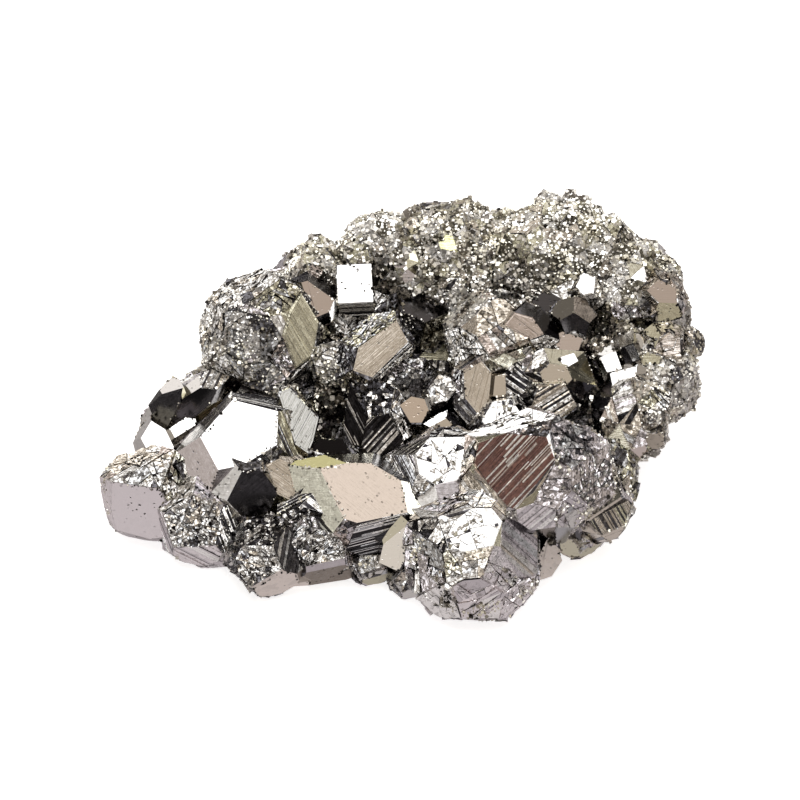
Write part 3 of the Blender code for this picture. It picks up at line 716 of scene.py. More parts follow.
def finish_of(facet):
    """A facet's finish, its tint or palette, the way its bands run, and how its steps turn it."""
    point, normal = facet.calc_center_median(), facet.normal
    longest = max(facet.edges, key=lambda edge: edge.calc_length())
    along = (longest.verts[1].co - longest.verts[0].co).normalized()
    if point.z < UNDERSIDE_WITHIN and normal.z < LOOKS_DOWN:
        return "underside", "steel", along, None
    own = own_look(point)
    if own:
        finish, tint, bands, steps = own
        turn = normal.rotation_difference(STEPS_LOOK[steps] or normal)
        return finish, tint, seen_along(normal, bands), turn
    crystal = crystal_at(point)
    if crystal is None:
        finish, tint = UNLISTED[int(noise.cell(point / PATCH_SIZE) * len(UNLISTED)) % len(UNLISTED)]
        return "crust" if point.z > CRUST_ABOVE else finish, tint, along, None
    along = seen_along(normal, crystal.bands)
    if crystal.main and normal.dot(pointing(crystal.turn, crystal.rise)) > SAME_WAY:
        return crystal.main, crystal.tint, along, None
    return crystal.sides, crystal.side_tint, along, None


# %% [markdown]
# ## Splitting a facet
# Every split is one straight cut across a face, and the two halves are cut again until
# they are small enough. Cutting always along one direction gives growth bands, cutting
# across the longer side gives blocks, and cutting at any angle gives shards.

# %% Cutting
ON_THE_CUT = 0.004 * MM
SIZE_SPREAD = (0.6, 1.5)
CUT_SHARES = (0.35, 0.65)
SHARD_SLANT = 0.9
LEAST_FILLED = 0.5


def extent(face, direction):
    reaches = [vert.co.dot(direction) for vert in face.verts]
    return min(reaches), max(reaches)


def halves(patch, face, direction, share):
    """Cuts a face in two, share of the way along a direction."""
    low, high = extent(face, direction)
    cut = bmesh.ops.bisect_plane(
        patch,
        geom=[face, *face.edges, *face.verts],
        plane_co=direction * (low + (high - low) * share),
        plane_no=direction,
        dist=ON_THE_CUT,
    )
    return [part for part in cut["geom"] if isinstance(part, bmesh.types.BMFace)]


def cut_direction(face, cut, along, across, rng):
    """The direction to cut a face along next, or None when it is small enough."""
    size = cut.size * MM * rng.uniform(*SIZE_SPREAD)
    wide, long = (high - low for low, high in (extent(face, across), extent(face, along)))
    if cut.split == "bands":
        return across if wide > size else None
    if max(wide, long) < size or face.calc_area() < size**2 * LEAST_FILLED:
        return None
    if cut.split == "blocks":
        return across if wide > long else along
    turn = rng.uniform(-SHARD_SLANT, SHARD_SLANT)
    main, other = (across, along) if wide > long else (along, across)
    return (main * math.cos(turn) + other * math.sin(turn)).normalized()


def split(patch, facet, cut, along, rng):
    """The pieces that a face is cut into."""
    across = facet.normal.cross(along).normalized()
    waiting, done = [facet], []
    while waiting:
        face = waiting.pop()
        direction = cut_direction(face, cut, along, across, rng)
        parts = halves(patch, face, direction, rng.uniform(*CUT_SHARES)) if direction else [face]
        if len(parts) < 2:
            done.append(face)
        else:
            waiting += parts
    return done


print("ways to cut:", sorted({cut.split for finish in FINISHES.values() for cut in finish.cuts}))

# %% [markdown]
# ## Raising the pieces
# Cuts alone would be invisible on a flat face. A bump map could tilt the pieces, but they
# would have no sides to catch the light. So each piece is inset, raised a little and
# tilted. Its rim may be dark, as a crack is. Worn faces are bulged as well. The facet's
# own corners stay where they are, so neighbours still meet.

# %% Raising the pieces
LEAST_AREA = 0.03 * MM**2
RIM = 0.045 * MM
RIM_SHARE = 0.2
OUTER_RIM = 0.03 * MM
BORDER = 0.38 * MM
BORDER_LEAST_AREA = 2.5 * MM**2
BORDER_MOST_FLECKS = 0.2
MOST_SLOPE = 1.6
LEAST_LIFT = 0.1
SWELL_WIDTH = 1.6 * MM
OVER_TABLE = 0.02 * MM


def add_rim(patch, face, width):
    """Insets a face by a width that is no more than its size allows, and gives its rim."""
    around = sum(edge.calc_length() for edge in face.edges)
    rim = min(width, RIM_SHARE * face.calc_area() / around)
    return bmesh.ops.inset_individual(patch, faces=[face], thickness=rim, depth=0)["faces"]


def raise_piece(patch, face, cut, along, rng):
    """Insets a piece, then lifts and tilts what is inside its rim. Gives the rim's faces."""
    if face.calc_area() < LEAST_AREA:
        return []
    rim = add_rim(patch, face, RIM)
    centre, normal = face.calc_center_median(), face.normal.copy()
    turn = 0 if cut.split == "bands" else rng.uniform(0, math.pi)
    lean = normal.cross(along) * math.cos(turn) + along * math.sin(turn)
    low, high = extent(face, lean)
    proud = cut.proud * MM
    steepest = proud * MOST_SLOPE / ((high - low) / 2 + ON_THE_CUT)
    slope = math.tan(math.radians(rng.uniform(-cut.tilt, cut.tilt)))
    slope = max(-steepest, min(steepest, slope))
    lift = max(proud * rng.uniform(LEAST_LIFT, 1.0), abs(slope) * (high - low) / 2)
    for vert in face.verts:
        vert.co += normal * (lift + slope * (vert.co - centre).dot(lean))
    return rim


def cut_up(patch, face, cuts, finish, tint, along, rng):
    """Cuts a face into raised pieces, and some of those again, giving each its tint."""
    tints = patch.faces.layers.int["tint"]
    if not cuts:
        return
    for piece in split(patch, face, cuts[0], along, rng):
        if cuts[0].varied:
            piece[tints] = pick_tint(tint, rng)
        for side in raise_piece(patch, piece, cuts[0], along, rng):
            if rng.random() < finish.seams:
                side[tints] = SEAM_TINT
        if len(cuts) > 1 and rng.random() < cuts[1].chance:
            piece.normal_update()
            cut_up(patch, piece, cuts[1:], finish, tint, along, rng)


def near_on(point, start, end):
    """The nearest point to a point on a side, from start to end."""
    spot, share = geometry.intersect_point_line(point, start, end)
    return start.lerp(end, max(0, min(1, share)))


def swell(inner, corners, normal, height):
    """Bulges what lies inside a facet's corners, so that worn faces look rounded."""
    sides = list(zip(corners, corners[1:] + corners[:1]))
    for vert in inner:
        away = min((vert.co - near_on(vert.co, *side)).length for side in sides)
        vert.co += normal * height * math.sqrt(min(1, away / SWELL_WIDTH))


def dressed_facet(corners, finish, tint, along, rng):
    """Points of one facet after its finish, its own corners first, then its faces' points,
    tints and whether they are border."""
    patch = bmesh.new()
    tints = patch.faces.layers.int.new("tint")
    borders = patch.faces.layers.int.new("border")
    facet = patch.faces.new([patch.verts.new(corner) for corner in corners])
    facet[tints] = main_tint(tint) if finish.cuts else pick_tint(tint, rng)
    patch.normal_update()
    normal = facet.normal.copy()
    if facet.calc_area() > LEAST_AREA:
        add_rim(patch, facet, OUTER_RIM)
        if facet.calc_area() > BORDER_LEAST_AREA and finish.flecks < BORDER_MOST_FLECKS:
            for side in add_rim(patch, facet, BORDER):
                side[borders] = 1
        cut_up(patch, facet, finish.cuts, finish, tint, along, rng)
    inner = patch.verts[len(corners):]
    if finish.swell:
        swell(inner, corners, normal, finish.swell * MM)
    lowest = min(OVER_TABLE, min(corner.z for corner in corners) + OVER_TABLE)
    for vert in inner:
        vert.co.z = max(vert.co.z, lowest)
    patch.verts.index_update()
    points = [vert.co.copy() for vert in patch.verts]
    faces = [([vert.index for vert in face.verts], face[tints], face[borders]) for face in patch.faces]
    patch.free()
    return points, faces


# %% [markdown]
# ## Dressing every facet
# The same rules run over the whole skin. One seed for all would change every facet after
# one that is edited, so each draws from a seed of its own. The pieces of all facets are
# gathered in plain lists, which is much quicker than growing one large mesh.

# %% Dressing every facet
ZONES = (
    ("ridge", ("ridge",)),
    ("shoulder", ("shoulder", "hill")),
    ("right", ("right_end", "right_bridge", "right_middle")),
    ("granular", ("granular",)),
)
Look = namedtuple("Look", "finish tint along zone border turn")


def zone_of(facet):
    crystal = crystal_at(facet.calc_center_median())
    if crystal is None:
        return "back"
    for zone, marks in ZONES:
        if any(mark in crystal.name for mark in marks):
            return zone
    return "front"


def dress(skin):
    """The whole skin's points and faces, and each face's look."""
    points = [vert.co.copy() for vert in skin.verts]
    faces, looks = [], []
    for facet in skin.faces:
        rng = random.Random(facet.index)
        name, tint, along, turn = finish_of(facet)
        zone = zone_of(facet)
        corners = [vert.co for vert in facet.verts]
        new_points, new_faces = dressed_facet(corners, FINISHES[name], tint, along, rng)
        number = [vert.index for vert in facet.verts]
        number += range(len(points), len(points) + len(new_points) - len(corners))
        points += new_points[len(corners):]
        for face, shade, border in new_faces:
            faces.append([number[spot] for spot in face])
            looks.append(Look(name, shade, along, zone, border, turn))
    return points, faces, looks


started = time.time()
points, faces, looks = dress(skin)
print("dressed faces:", len(faces), "in seconds:", round(time.time() - started, 1))
for name in FINISHES:
    chosen = [len(face) - 2 for face, look in zip(faces, looks) if look.finish == name]
    print("   ", name, sum(chosen), "triangles")

# %% [markdown]
# ## Crevices
# Deep gaps between crystals are painted dark and made duller: painted shade. A few rays
# from every face tell how much of what it looks at is other rock close by.

# %% Crevices
FEELER_LENGTH = 5 * MM
FEELER_START = 0.03 * MM
# Faces with a look of their own keep only this share of a crevice's painted shade.
OPEN_SHARE = 0.5
# Elevation, number round, and where the first one stands.
FEELER_RINGS = ((90, 1, 0), (50, 5, 0), (20, 5, 36))
FEELERS = [
    pointing(first + 360 / count * number, rise)
    for rise, count, first in FEELER_RINGS for number in range(count)]


def newell(corners):
    """The normal of a flat face with any number of corners."""
    total = Vector()
    for one, two in zip(corners, corners[1:] + corners[:1]):
        total += one.cross(two)
    return total.normalized()


def crevice_share(face, points, tree):
    """The share of a face's feelers that touch the specimen."""
    corners = [points[number] for number in face]
    normal = geometry.normal(corners) if len(corners) == 3 else newell(corners)
    centre = sum(corners, Vector()) / len(corners) + normal * FEELER_START
    turn = normal.to_track_quat("Z", "X")
    hits = [tree.ray_cast(centre, turn @ feeler, FEELER_LENGTH)[0] for feeler in FEELERS]
    return sum(hit is not None for hit in hits) / len(FEELERS)


started = time.time()
rock = BVHTree.FromBMesh(skin)
crevices = [
    crevice_share(face, points, rock) * (OPEN_SHARE if look.turn else 1)
    for face, look in zip(faces, looks)]
print("mean crevice share:", round(sum(crevices) / len(crevices), 2))
print("in seconds:", round(time.time() - started, 1))

# %% [markdown]
# ## Skin as a mesh
# A material for each tint and finish would make hundreds. Instead, all that the metal has
# to know about a face is stored on the mesh: its tint, its finish's shares, its crevice
# and, in a UV map, which way its bands run.

# %% Skin as a mesh
def store(mesh, name, values, kind="FLOAT", field="value"):
    """Stores a value for each face."""
    attribute = mesh.attributes.new(name, kind, "FACE")
    attribute.data.foreach_set(field, np.asarray(values, np.float32).ravel())


def read(items, field, width=3, kind=np.float32):
    values = np.empty(len(items) * width, kind)
    items.foreach_get(field, values)
    return values.reshape(-1, width)


def add_band_map(mesh):
    """A UV map in millimetres, with U along each facet's growth bands."""
    along = read(mesh.attributes["along"].data, "vector")
    across = np.cross(read(mesh.polygon_normals, "vector"), along)
    along, across = np.repeat(along, 3, axis=0), np.repeat(across, 3, axis=0)
    owners = read(mesh.loops, "vertex_index", 1, np.int32)[:, 0]
    corners = read(mesh.vertices, "co")[owners] / MM
    places = np.stack([(corners * along).sum(1), (corners * across).sum(1)], axis=1)
    mesh.uv_layers.new(name="bands").data.foreach_set("uv", places.astype(np.float32).ravel())


def skin_mesh(points, faces, looks, crevices):
    mesh = bpy.data.meshes.new("crystals")
    mesh.from_pydata(points, [], faces)
    store(mesh, "along", [look.along for look in looks], "FLOAT_VECTOR", "vector")
    facings = [newell([points[number] for number in face]) for face in faces]
    facings = [look.turn @ facing if look.turn else facing for facing, look in zip(facings, looks)]
    store(mesh, "facing", facings, "FLOAT_VECTOR", "vector")
    colours = [(*TINTS[TINT_NAMES[look.tint]], 1) for look in looks]
    store(mesh, "tint", colours, "FLOAT_COLOR", "color")
    store(mesh, "crevice", crevices)
    for field in ("lines", "pits", "flecks", "dull"):
        store(mesh, field, [getattr(FINISHES[look.finish], field) for look in looks])
    triangles = bmesh.new()
    triangles.from_mesh(mesh)
    bmesh.ops.triangulate(triangles, faces=triangles.faces[:])
    triangles.to_mesh(mesh)
    triangles.free()
    add_band_map(mesh)
    mesh.attributes.remove(mesh.attributes["along"])
    return mesh


mesh = skin_mesh(points, faces, looks, crevices)
skin.free()
print("triangles:", len(mesh.polygons))

# %% [markdown]
# ## Growth lines and pits
# Pyrite faces are ruled with fine ridges, where growing layers ended, and etched with
# small pits. They are a few hundredths of a millimetre deep, too fine to model, so bump
# nodes make them. Both run with the bands, so their noise is stretched over the band map.

# %% Growth lines and pits
# How often the coarse and the fine ridges change, per mm along the bands and across them,
# then the detail and roughness of their noise.
COARSE_LINES, COARSE_NOISE = (0.35, 5.0, 1), (3.0, 0.65)
FINE_LINES, FINE_NOISE = (0.9, 16.0, 1), (2.0, 0.6)
LINE_EDGE, FINE_SHARE = (0.35, 0.65), 0.5
PIT_CELLS = (2.2, 3.0, 1)
PIT_UNEVEN = 0.45
PIT_MOST = 0.55
PIT_EDGE = (0.14, 0.04)
PIT_POWER = 3.0
PIT_PATCHES = (0.42, 0.56)
# Noise scales are per metre, over the rock itself.
UNEVEN_SCALE, PATCH_SCALE, GRIT_SCALE = 5000.0, 420.0, 3800.0
ROUGH_NOISE, GRIT_NOISE, GRIT_EDGE = (2.0, 0.6), (3.0, 0.7), (0.35, 0.70)


def new_group(name, inputs, outputs):
    """A shader group with these sockets, of the kinds named, and what it is given."""
    tree = bpy.data.node_groups.new(name, "ShaderNodeTree")
    for way, sockets in (("INPUT", inputs), ("OUTPUT", outputs)):
        for label, kind in sockets.items():
            tree.interface.new_socket(label, in_out=way, socket_type="NodeSocket" + kind)
    nodes = Nodes(tree)
    return nodes, nodes.add("NodeGroupInput").outputs


def stretched(nodes, vector, scale):
    return nodes.add("ShaderNodeMapping", {"Vector": vector, "Scale": scale}).outputs[0]


def growth_lines():
    """Fine ridges that run along U, broken here and there, as growing layers leave them."""
    nodes, given = new_group("growth_lines", {"Bands": "Vector"}, {"Height": "Float"})
    coarse = nodes.noise(stretched(nodes, given["Bands"], COARSE_LINES), 1.0, *COARSE_NOISE)
    fine = nodes.noise(stretched(nodes, given["Bands"], FINE_LINES), 1.0, *FINE_NOISE)
    height = nodes.math(
        "ADD", nodes.remapped(coarse, *LINE_EDGE), nodes.math("MULTIPLY", fine, FINE_SHARE))
    nodes.add("NodeGroupOutput", {"Height": height})
    return nodes.tree


def etch_pits():
    """Small sharp-edged pits, drawn out along the bands, in patches."""
    nodes, given = new_group(
        "etch_pits", {"Bands": "Vector", "Rock": "Vector"}, {"Pits": "Float", "Grit": "Float"})
    cells = nodes.cells(stretched(nodes, given["Bands"], PIT_CELLS), 1.0)
    uneven = nodes.noise(given["Rock"], UNEVEN_SCALE, *ROUGH_NOISE)
    distance = nodes.math("ADD", cells["Distance"], nodes.math("MULTIPLY", uneven, PIT_UNEVEN))
    chance = nodes.add("ShaderNodeSeparateColor", {0: cells["Color"]}).outputs[0]
    size = nodes.math("MULTIPLY", nodes.math("POWER", chance, PIT_POWER), PIT_MOST)
    holes = nodes.remapped(nodes.math("SUBTRACT", distance, size), *PIT_EDGE)
    patches = nodes.remapped(nodes.noise(given["Rock"], PATCH_SCALE), *PIT_PATCHES)
    grit = nodes.remapped(nodes.noise(given["Rock"], GRIT_SCALE, *GRIT_NOISE), *GRIT_EDGE)
    nodes.add("NodeGroupOutput", {"Pits": nodes.math("MULTIPLY", holes, patches), "Grit": grit})
    return nodes.tree


lines_group, pits_group = growth_lines(), etch_pits()
print("nodes:", len(lines_group.nodes), "for lines,", len(pits_group.nodes), "for pits")

# %% [markdown]
# ## Flecks
# A broken face glitters with crystals too small to model. Bumps would make them round. So
# cells of two sizes turn the normal itself, each its own way, which keeps them flat, and
# about one large cell in six is dark.

# %% Flecks
FLECK_SCALES = (3400.0, 1500.0)
FLECK_TURNS = (0.9, 0.54)
FLECK_DARK = (0.10, 0.24)


def fleck_facets():
    """A normal that every cell turns its own way, and how dark each cell is."""
    nodes, given = new_group(
        "fleck_facets", {"Facing": "Vector", "Rock": "Vector", "Share": "Float"},
        {"Facing": "Vector", "Tone": "Float"})
    facing = given["Facing"]
    for scale, turn in zip(FLECK_SCALES, FLECK_TURNS):
        colour = nodes.cells(given["Rock"], scale)["Color"]
        turned = nodes.vector("SUBTRACT", colour, (0.5, 0.5, 0.5))
        amount = nodes.math("MULTIPLY", given["Share"], turn)
        facing = nodes.vector("ADD", facing, nodes.vector("SCALE", turned, scale=amount))
    chance = nodes.add("ShaderNodeSeparateColor", {0: colour}).outputs[0]
    dark = nodes.remapped(chance, *FLECK_DARK, 1.0, 0.0)
    dark = nodes.math("MULTIPLY", dark, given["Share"], clamp=True)
    nodes.add("NodeGroupOutput", {"Facing": nodes.vector("NORMALIZE", facing), "Tone": dark})
    return nodes.tree


flecks_group = fleck_facets()
print("nodes for flecks:", len(flecks_group.nodes))

# %% [markdown]
# ## Pyrite
# The metal itself is one material. What changes over it comes from the mesh: the tint of
# each facet, how dull it is, how many lines and pits it carries, and how deep it lies,
# which darkens it as painted shade.

# %% Pyrite
LINE_DEPTH = 0.030 * MM
PIT_DEPTH = 0.05 * MM
# Painted shade: the colour that faces deep in crevices darken to, where that starts, and how fast it
# deepens.
CREVICE_SHADE = (0.05, 0.042, 0.035, 1)
CREVICE_SHADE_FROM, CREVICE_SHADE_CURVE = 0.35, 1.5
# Pits are painted near black in their hollows: painted shade.
PIT_COLOUR = (0.05, 0.045, 0.04, 1)
FLECK_COLOUR = (0.07, 0.062, 0.055, 1)
FLECK_STRENGTH = 0.7
# What grit, crevices and pits add to the roughness.
GRIT_ROUGH, CREVICE_SHADE_ROUGH, PIT_ROUGH = 0.6, 0.3, 0.3


def new_metal(name):
    """A new material, its nodes, and its shader as bare metal."""
    material = bpy.data.materials.new(name)
    material.use_nodes = True
    shader = material.node_tree.nodes["Principled BSDF"]
    shader.inputs["Metallic"].default_value = 1.0
    return material, Nodes(material.node_tree), shader


def group_node(nodes, group, inputs):
    return nodes.add("ShaderNodeGroup", inputs, node_tree=group).outputs


def pyrite_material():
    material, nodes, shader = new_metal("pyrite")
    bands = nodes.add("ShaderNodeUVMap", uv_map="bands").outputs["UV"]
    rock = nodes.add("ShaderNodeTexCoord").outputs["Object"]
    dull = nodes.attribute("dull")
    lines = group_node(nodes, lines_group, {"Bands": bands})
    pits = group_node(nodes, pits_group, {"Bands": bands, "Rock": rock})
    flecks = group_node(nodes, flecks_group, {
        "Facing": nodes.attribute("facing", "Vector"), "Rock": rock, "Share": nodes.attribute("flecks")})
    holes = nodes.math("MULTIPLY", pits["Pits"], nodes.attribute("pits"))
    # Painted shade: faces deep in crevices are darkened in colour, and made rougher.
    deep = nodes.remapped(nodes.attribute("crevice"), CREVICE_SHADE_FROM, 1.0)
    deep = nodes.math("POWER", deep, CREVICE_SHADE_CURVE)
    colour = nodes.mixed(deep, nodes.attribute("tint", "Color"), CREVICE_SHADE)
    colour = nodes.mixed(holes, colour, PIT_COLOUR)
    colour = nodes.mixed(nodes.math("MULTIPLY", flecks["Tone"], FLECK_STRENGTH), colour, FLECK_COLOUR)
    grit = nodes.math("MULTIPLY", nodes.math("MULTIPLY", pits["Grit"], dull), GRIT_ROUGH)
    rough = nodes.math("ADD", dull, grit)
    rough = nodes.math("ADD", rough, nodes.math("MULTIPLY", deep, CREVICE_SHADE_ROUGH))
    rough = nodes.math("ADD", rough, nodes.math("MULTIPLY", holes, PIT_ROUGH), clamp=True)
    ridges = nodes.add("ShaderNodeBump", {
        "Distance": LINE_DEPTH, "Normal": flecks["Facing"],
        "Height": nodes.math("MULTIPLY", lines["Height"], nodes.attribute("lines"))})
    dents = nodes.add("ShaderNodeBump", {
        "Distance": PIT_DEPTH, "Normal": ridges.outputs[0], "Height": holes}, invert=True)
    nodes.fill(shader, {"Base Color": colour, "Roughness": rough, "Normal": dents.outputs[0]})
    return material


mesh.materials.append(pyrite_material())
crystals = shown("crystals", mesh)
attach(crystals, "root")
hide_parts(NODE)
print("pyrite nodes:", len(mesh.materials[0].node_tree.nodes))

# %% [markdown]
# ## Grain crusts
# The back of the specimen and the rims of many faces are a crust of sugar-sized crystals.
# Thousands of pieces laid by hand or in a loop would be slow and hard to change, so
# Geometry Nodes scatter a few small crystal shapes over the skin. They are turned and
# sized at random, and made real at the end, because the export drops instances.

# %% Grain crust nodes
# In some patches the grains grew parallel, and those flash together.
FLASH = pointing(0, 65) * 5
FLASH_PATCHES = (0.46, 0.56)
LEAN = 0.36
FULL_TURN = 6.28
# The higher, the more of the grains are small.
SMALL_MORE = 2.2
CLUSTER_SCALE = 230.0
GRAIN_BLOCKS = ((0.95, 0.95, 0.95), (1.2, 0.9, 0.45), (0.55, 0.6, 1.25))
GRAIN_BALL = 0.6
# Clumps under the grains take this dark tone: painted shade in the gaps between grains.
CLUMP_TONE = 0.25
CLUMP_LEAST = 0.55
# How much chance and patches set a grain's tone, and how much crevices darken it as painted shade.
CHANCE_TONE, PATCH_TONE, CREVICE_SHADE_TONE = 0.8, 3.0, 0.6
GRAIN_INPUTS = {
    "Geometry": "Geometry", "Spacing": "Float", "Smallest": "Float", "Largest": "Float",
    "Sunk": "Float", "Brightness": "Float", "Clump Spacing": "Float", "Clump Radius": "Float",
    "Clump Sunk": "Float", "Seed": "Int", "Material": "Material",
}


def joined(nodes, parts):
    return nodes.add("GeometryNodeJoinGeometry", {0: parts}).outputs[0]


def grain_shapes(nodes):
    """A cube, a flat plate, a splinter and a rounded crystal, each about one unit across."""
    shapes = [nodes.add("GeometryNodeMeshCube", {"Size": size}) for size in GRAIN_BLOCKS]
    shapes.append(nodes.add("GeometryNodeMeshIcoSphere", {"Radius": GRAIN_BALL, "Subdivisions": 1}))
    return joined(nodes, [
        nodes.add("GeometryNodeGeometryToInstance", {"Geometry": shape.outputs[0]}).outputs[0]
        for shape in shapes])


def clusters(nodes):
    """Patches over the specimen, as a value round 0.5."""
    return nodes.noise(nodes.add("GeometryNodeInputPosition").outputs[0], CLUSTER_SCALE)


def read_value(nodes, name):
    node = nodes.add("GeometryNodeInputNamedAttribute", {"Name": name}, data_type="FLOAT")
    return node.outputs["Attribute"]


def stored(nodes, geometry, name, value, domain):
    return nodes.add("GeometryNodeStoreNamedAttribute", {
        "Geometry": geometry, "Name": name, "Value": value}, data_type="FLOAT", domain=domain).outputs[0]


def scattered(nodes, surface, spacing, sizes, sunk, shape, seed, pick):
    """Instances of a shape over a surface, turned at random, and more of them small than large."""
    spots = nodes.add("GeometryNodeDistributePointsOnFaces", {
        "Mesh": surface, "Distance Min": spacing, "Density Max": nodes.math("POWER", spacing, -2.0),
        "Density Factor": read_value(nodes, "crusted"), "Seed": seed,
    }, distribute_method="POISSON").outputs
    offset = nodes.vector("SCALE", spots["Normal"], scale=nodes.math("MULTIPLY", sunk, -1.0))
    placed = nodes.add("GeometryNodeSetPosition", {"Geometry": spots["Points"], "Offset": offset})
    chance = nodes.add("FunctionNodeRandomValue", {"Seed": seed}, data_type="FLOAT").outputs[1]
    size = nodes.remapped(nodes.math("POWER", chance, SMALL_MORE), 0.0, 1.0, *sizes)
    parallel = nodes.remapped(clusters(nodes), *FLASH_PATCHES)
    main = nodes.vector("ADD", spots["Normal"], nodes.vector("SCALE", FLASH, scale=parallel))
    aligned = nodes.add("FunctionNodeAlignRotationToVector", {"Vector": main}, axis="Z")
    lean = nodes.add("FunctionNodeRandomValue", {
        "Min": (-LEAN, -LEAN, 0.0), "Max": (LEAN, LEAN, FULL_TURN), "Seed": seed,
    }, data_type="FLOAT_VECTOR").outputs["Value"]
    turned = nodes.add("FunctionNodeRotateRotation", {
        "Rotation": aligned.outputs[0],
        "Rotate By": nodes.add("FunctionNodeEulerToRotation", {"Euler": lean}).outputs[0],
    }, rotation_space="LOCAL")
    spot = nodes.add("GeometryNodeInputPosition").outputs[0]
    height = nodes.add("ShaderNodeSeparateXYZ", {0: spot}).outputs["Z"]
    return nodes.add("GeometryNodeInstanceOnPoints", {
        "Points": placed.outputs[0], "Selection": nodes.math("GREATER_THAN", height, sizes[1]),
        "Instance": shape, "Pick Instance": pick,
        "Rotation": turned.outputs[0], "Scale": size}).outputs[0]


def grain_tone(nodes, given):
    """How bright each grain is: by chance, by patch, and darker in crevices as painted shade."""
    chance = nodes.add("FunctionNodeRandomValue", {
        "Seed": given["Seed"], "ID": nodes.add("GeometryNodeInputIndex").outputs[0],
    }, data_type="FLOAT").outputs[1]
    patches = nodes.math("MULTIPLY", nodes.math("SUBTRACT", clusters(nodes), 0.5), PATCH_TONE)
    tone = nodes.math("ADD", nodes.math("MULTIPLY", chance, CHANCE_TONE), patches)
    tone = nodes.math("ADD", tone, given["Brightness"])
    # Painted shade: grains deep in crevices are darker.
    grain_shade = nodes.math("MULTIPLY", read_value(nodes, "crevice"), CREVICE_SHADE_TONE)
    return nodes.math("SUBTRACT", tone, grain_shade, clamp=True)


def grain_tree():
    """Clumps over the surface, then grains over the surface and the clumps."""
    tree = bpy.data.node_groups.new("grain_crust", "GeometryNodeTree")
    for label, kind in GRAIN_INPUTS.items():
        tree.interface.new_socket(label, in_out="INPUT", socket_type="NodeSocket" + kind)
    tree.interface.new_socket("Geometry", in_out="OUTPUT", socket_type="NodeSocketGeometry")
    nodes = Nodes(tree)
    given = nodes.add("NodeGroupInput").outputs
    ball = nodes.add("GeometryNodeMeshIcoSphere", {"Radius": 1.0, "Subdivisions": 1}).outputs[0]
    sizes = (nodes.math("MULTIPLY", given["Clump Radius"], CLUMP_LEAST), given["Clump Radius"])
    clumps = scattered(nodes, given["Geometry"], given["Clump Spacing"], sizes,
                       given["Clump Sunk"], ball, given["Seed"], False)
    clumps = nodes.add("GeometryNodeRealizeInstances", {"Geometry": clumps}).outputs[0]
    clumps = stored(nodes, clumps, "tone", CLUMP_TONE, "POINT")
    ground = joined(nodes, [stored(nodes, clumps, "crusted", 1.0, "FACE"), given["Geometry"]])
    sizes = (given["Smallest"], given["Largest"])
    grains = scattered(nodes, ground, given["Spacing"], sizes, given["Sunk"],
                       grain_shapes(nodes), given["Seed"], True)
    grains = stored(nodes, grains, "tone", grain_tone(nodes, given), "INSTANCE")
    grains = nodes.add("GeometryNodeRealizeInstances", {"Geometry": grains}).outputs[0]
    whole = joined(nodes, [grains, clumps])
    whole = nodes.add("GeometryNodeSetMaterial", {"Geometry": whole, "Material": given["Material"]})
    nodes.add("NodeGroupOutput", {0: whole.outputs[0]})
    return tree


crust_tree = grain_tree()
print("grain nodes:", len(crust_tree.nodes))

# %% [markdown]
# ## The grains' metal
# Grains are the same metal, but each has a tone of its own, and patches of the crust are
# stained olive. Their own facets give the glitter, so a fine grit is all the relief added.

# %% Grain material
GRAIN_TONES = [
    (0.00, (0.02, 0.018, 0.016)),
    (0.15, (0.09, 0.08, 0.07)),
    (0.32, (0.40, 0.37, 0.33)),
    (0.55, (0.66, 0.63, 0.57)),
    (0.80, (0.84, 0.81, 0.74)),
    (1.0, (0.95, 0.93, 0.87)),
]
GRAIN_ROUGHNESS = (0.20, 0.38)
GRAIN_GRIT, GRAIN_GRIT_SCALE = 0.02 * MM, 5200.0
STAIN = (0.90, 0.88, 0.78, 1)
STAIN_SCALE, STAIN_PATCHES = 190.0, (0.48, 0.62)


def grain_material():
    material, nodes, shader = new_metal("pyrite_grains")
    tone = nodes.attribute("tone")
    rock = nodes.add("ShaderNodeTexCoord").outputs["Object"]
    stain = nodes.remapped(nodes.noise(rock, STAIN_SCALE, *ROUGH_NOISE), *STAIN_PATCHES)
    grit = nodes.add("ShaderNodeBump", {
        "Distance": GRAIN_GRIT, "Height": nodes.noise(rock, GRAIN_GRIT_SCALE, *ROUGH_NOISE)})
    nodes.fill(shader, {
        "Base Color": nodes.mixed(stain, nodes.ramp(tone, GRAIN_TONES), STAIN, "MULTIPLY"),
        "Roughness": nodes.remapped(tone, 0.0, 1.0, *GRAIN_ROUGHNESS),
        "Normal": grit.outputs[0]})
    return material


grains_look = grain_material()
print("tones of grains:", len(GRAIN_TONES))

# %% [markdown]
# ## Scattering the grains
# Each part of the specimen has a crust of its own grain size and brightness: the ridge and
# the shoulder, the granular ball and the back, then thinner ones in crevices, along the
# borders of faces, and as dust on broken faces. One seed each keeps them as they are.

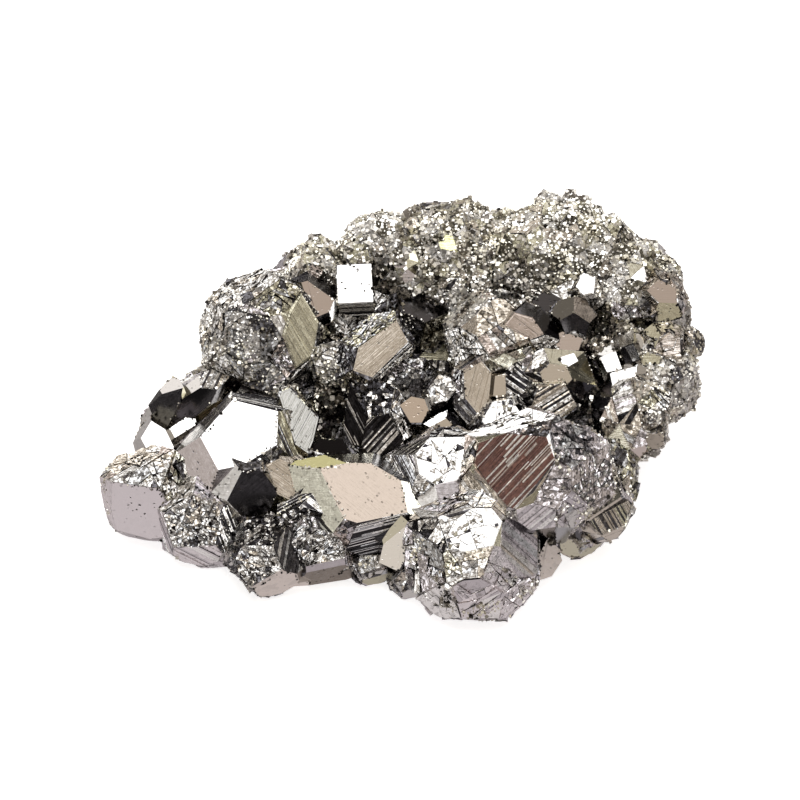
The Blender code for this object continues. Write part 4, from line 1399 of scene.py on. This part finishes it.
# %% Scatter the grains
GRAIN_FREE_HEIGHT = 0.5 * MM
LEAST_CREVICE = 0.5
CREVICE_GAIN = 4
BORDER_PATCH, BORDER_START, BORDER_GAIN = 3.5 * MM, 0.1, 3
DUST_PATCH, DUST_GAIN, DUST_LESS = 2.6 * MM, 3, 0.3
DUSTY = ("mosaic", "broken", "blocky", "terraced", "worn")
CLUMP_SUNK_SHARE = 0.45
Crust = namedtuple("Crust", "name zones spacing smallest largest sunk brightness clump_spacing clump_radius")
CRUSTS = [
    Crust("ridge_grains", ("ridge",), 0.30, 0.24, 0.58, 0.07, 0.75, 1.9, 1.10),
    Crust("shoulder_grains", ("shoulder", "right"), 0.31, 0.22, 0.54, 0.06, 0.62, 1.9, 0.95),
    Crust("ball_grains", ("granular",), 0.27, 0.14, 0.42, 0.05, 0.34, 2.6, 0.60),
    Crust("back_grains", ("back",), 0.38, 0.24, 0.66, 0.10, 0.35, 2.2, 1.20),
    # The crevice grains are set darker: painted shade.
    Crust("crevice_grains", "crevices", 0.42, 0.16, 0.50, 0.03, -0.22, 3.0, 0.60),
    Crust("border_grains", "borders", 0.25, 0.10, 0.30, 0.0, -0.20, 3.0, 0.25),
    Crust("dust_grains", "dust", 0.28, 0.12, 0.42, 0.0, 0.25, 3.0, 0.35),
]


def cover_of(crust, look, middle, crevice):
    """How densely a crust covers a face, from none at 0 to all at 1."""
    if look.finish == "underside" or middle.z < GRAIN_FREE_HEIGHT:
        return 0
    if crust.zones == "borders":
        return look.border * (noise.noise(middle / BORDER_PATCH) + BORDER_START) * BORDER_GAIN
    if crust.zones == "dust":
        return (look.finish in DUSTY) * (noise.noise(middle / DUST_PATCH) * DUST_GAIN - DUST_LESS)
    if crust.zones == "crevices":
        return (crevice - LEAST_CREVICE) * CREVICE_GAIN
    return float(look.zone in crust.zones and FINISHES[look.finish].grains)


def scatter(crust, seed):
    chosen, covers = [], []
    for number, (face, look, crevice) in enumerate(zip(faces, looks, crevices)):
        middle = sum((points[corner] for corner in face), Vector()) / len(face)
        cover = cover_of(crust, look, middle, crevice)
        if cover > 0:
            chosen.append(number)
            covers.append(min(1, cover))
    mesh = bpy.data.meshes.new(crust.name)
    mesh.from_pydata(points, [], [faces[number] for number in chosen])
    store(mesh, "crusted", covers)
    store(mesh, "crevice", [crevices[number] for number in chosen])
    surface = shown(crust.name, mesh)
    modifier = surface.modifiers.new("grains", "NODES")
    modifier.node_group = crust_tree
    values = {
        "Spacing": crust.spacing * MM, "Smallest": crust.smallest * MM, "Largest": crust.largest * MM,
        "Sunk": crust.sunk * MM, "Brightness": crust.brightness, "Seed": seed, "Material": grains_look,
        "Clump Spacing": crust.clump_spacing * MM, "Clump Radius": crust.clump_radius * MM,
        "Clump Sunk": crust.clump_radius * CLUMP_SUNK_SHARE * MM}
    for socket in crust_tree.interface.items_tree:
        if socket.name in values:
            modifier[socket.identifier] = values[socket.name]
    grown = surface.evaluated_get(bpy.context.evaluated_depsgraph_get())
    real = bpy.data.meshes.new_from_object(grown)
    surface.modifiers.clear()
    surface.data = real
    bpy.data.meshes.remove(mesh)
    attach(surface, "root")
    real.calc_loop_triangles()
    print(crust.name, len(chosen), "faces,", len(real.loop_triangles), "triangles")


for seed, crust in enumerate(CRUSTS):
    scatter(crust, seed)
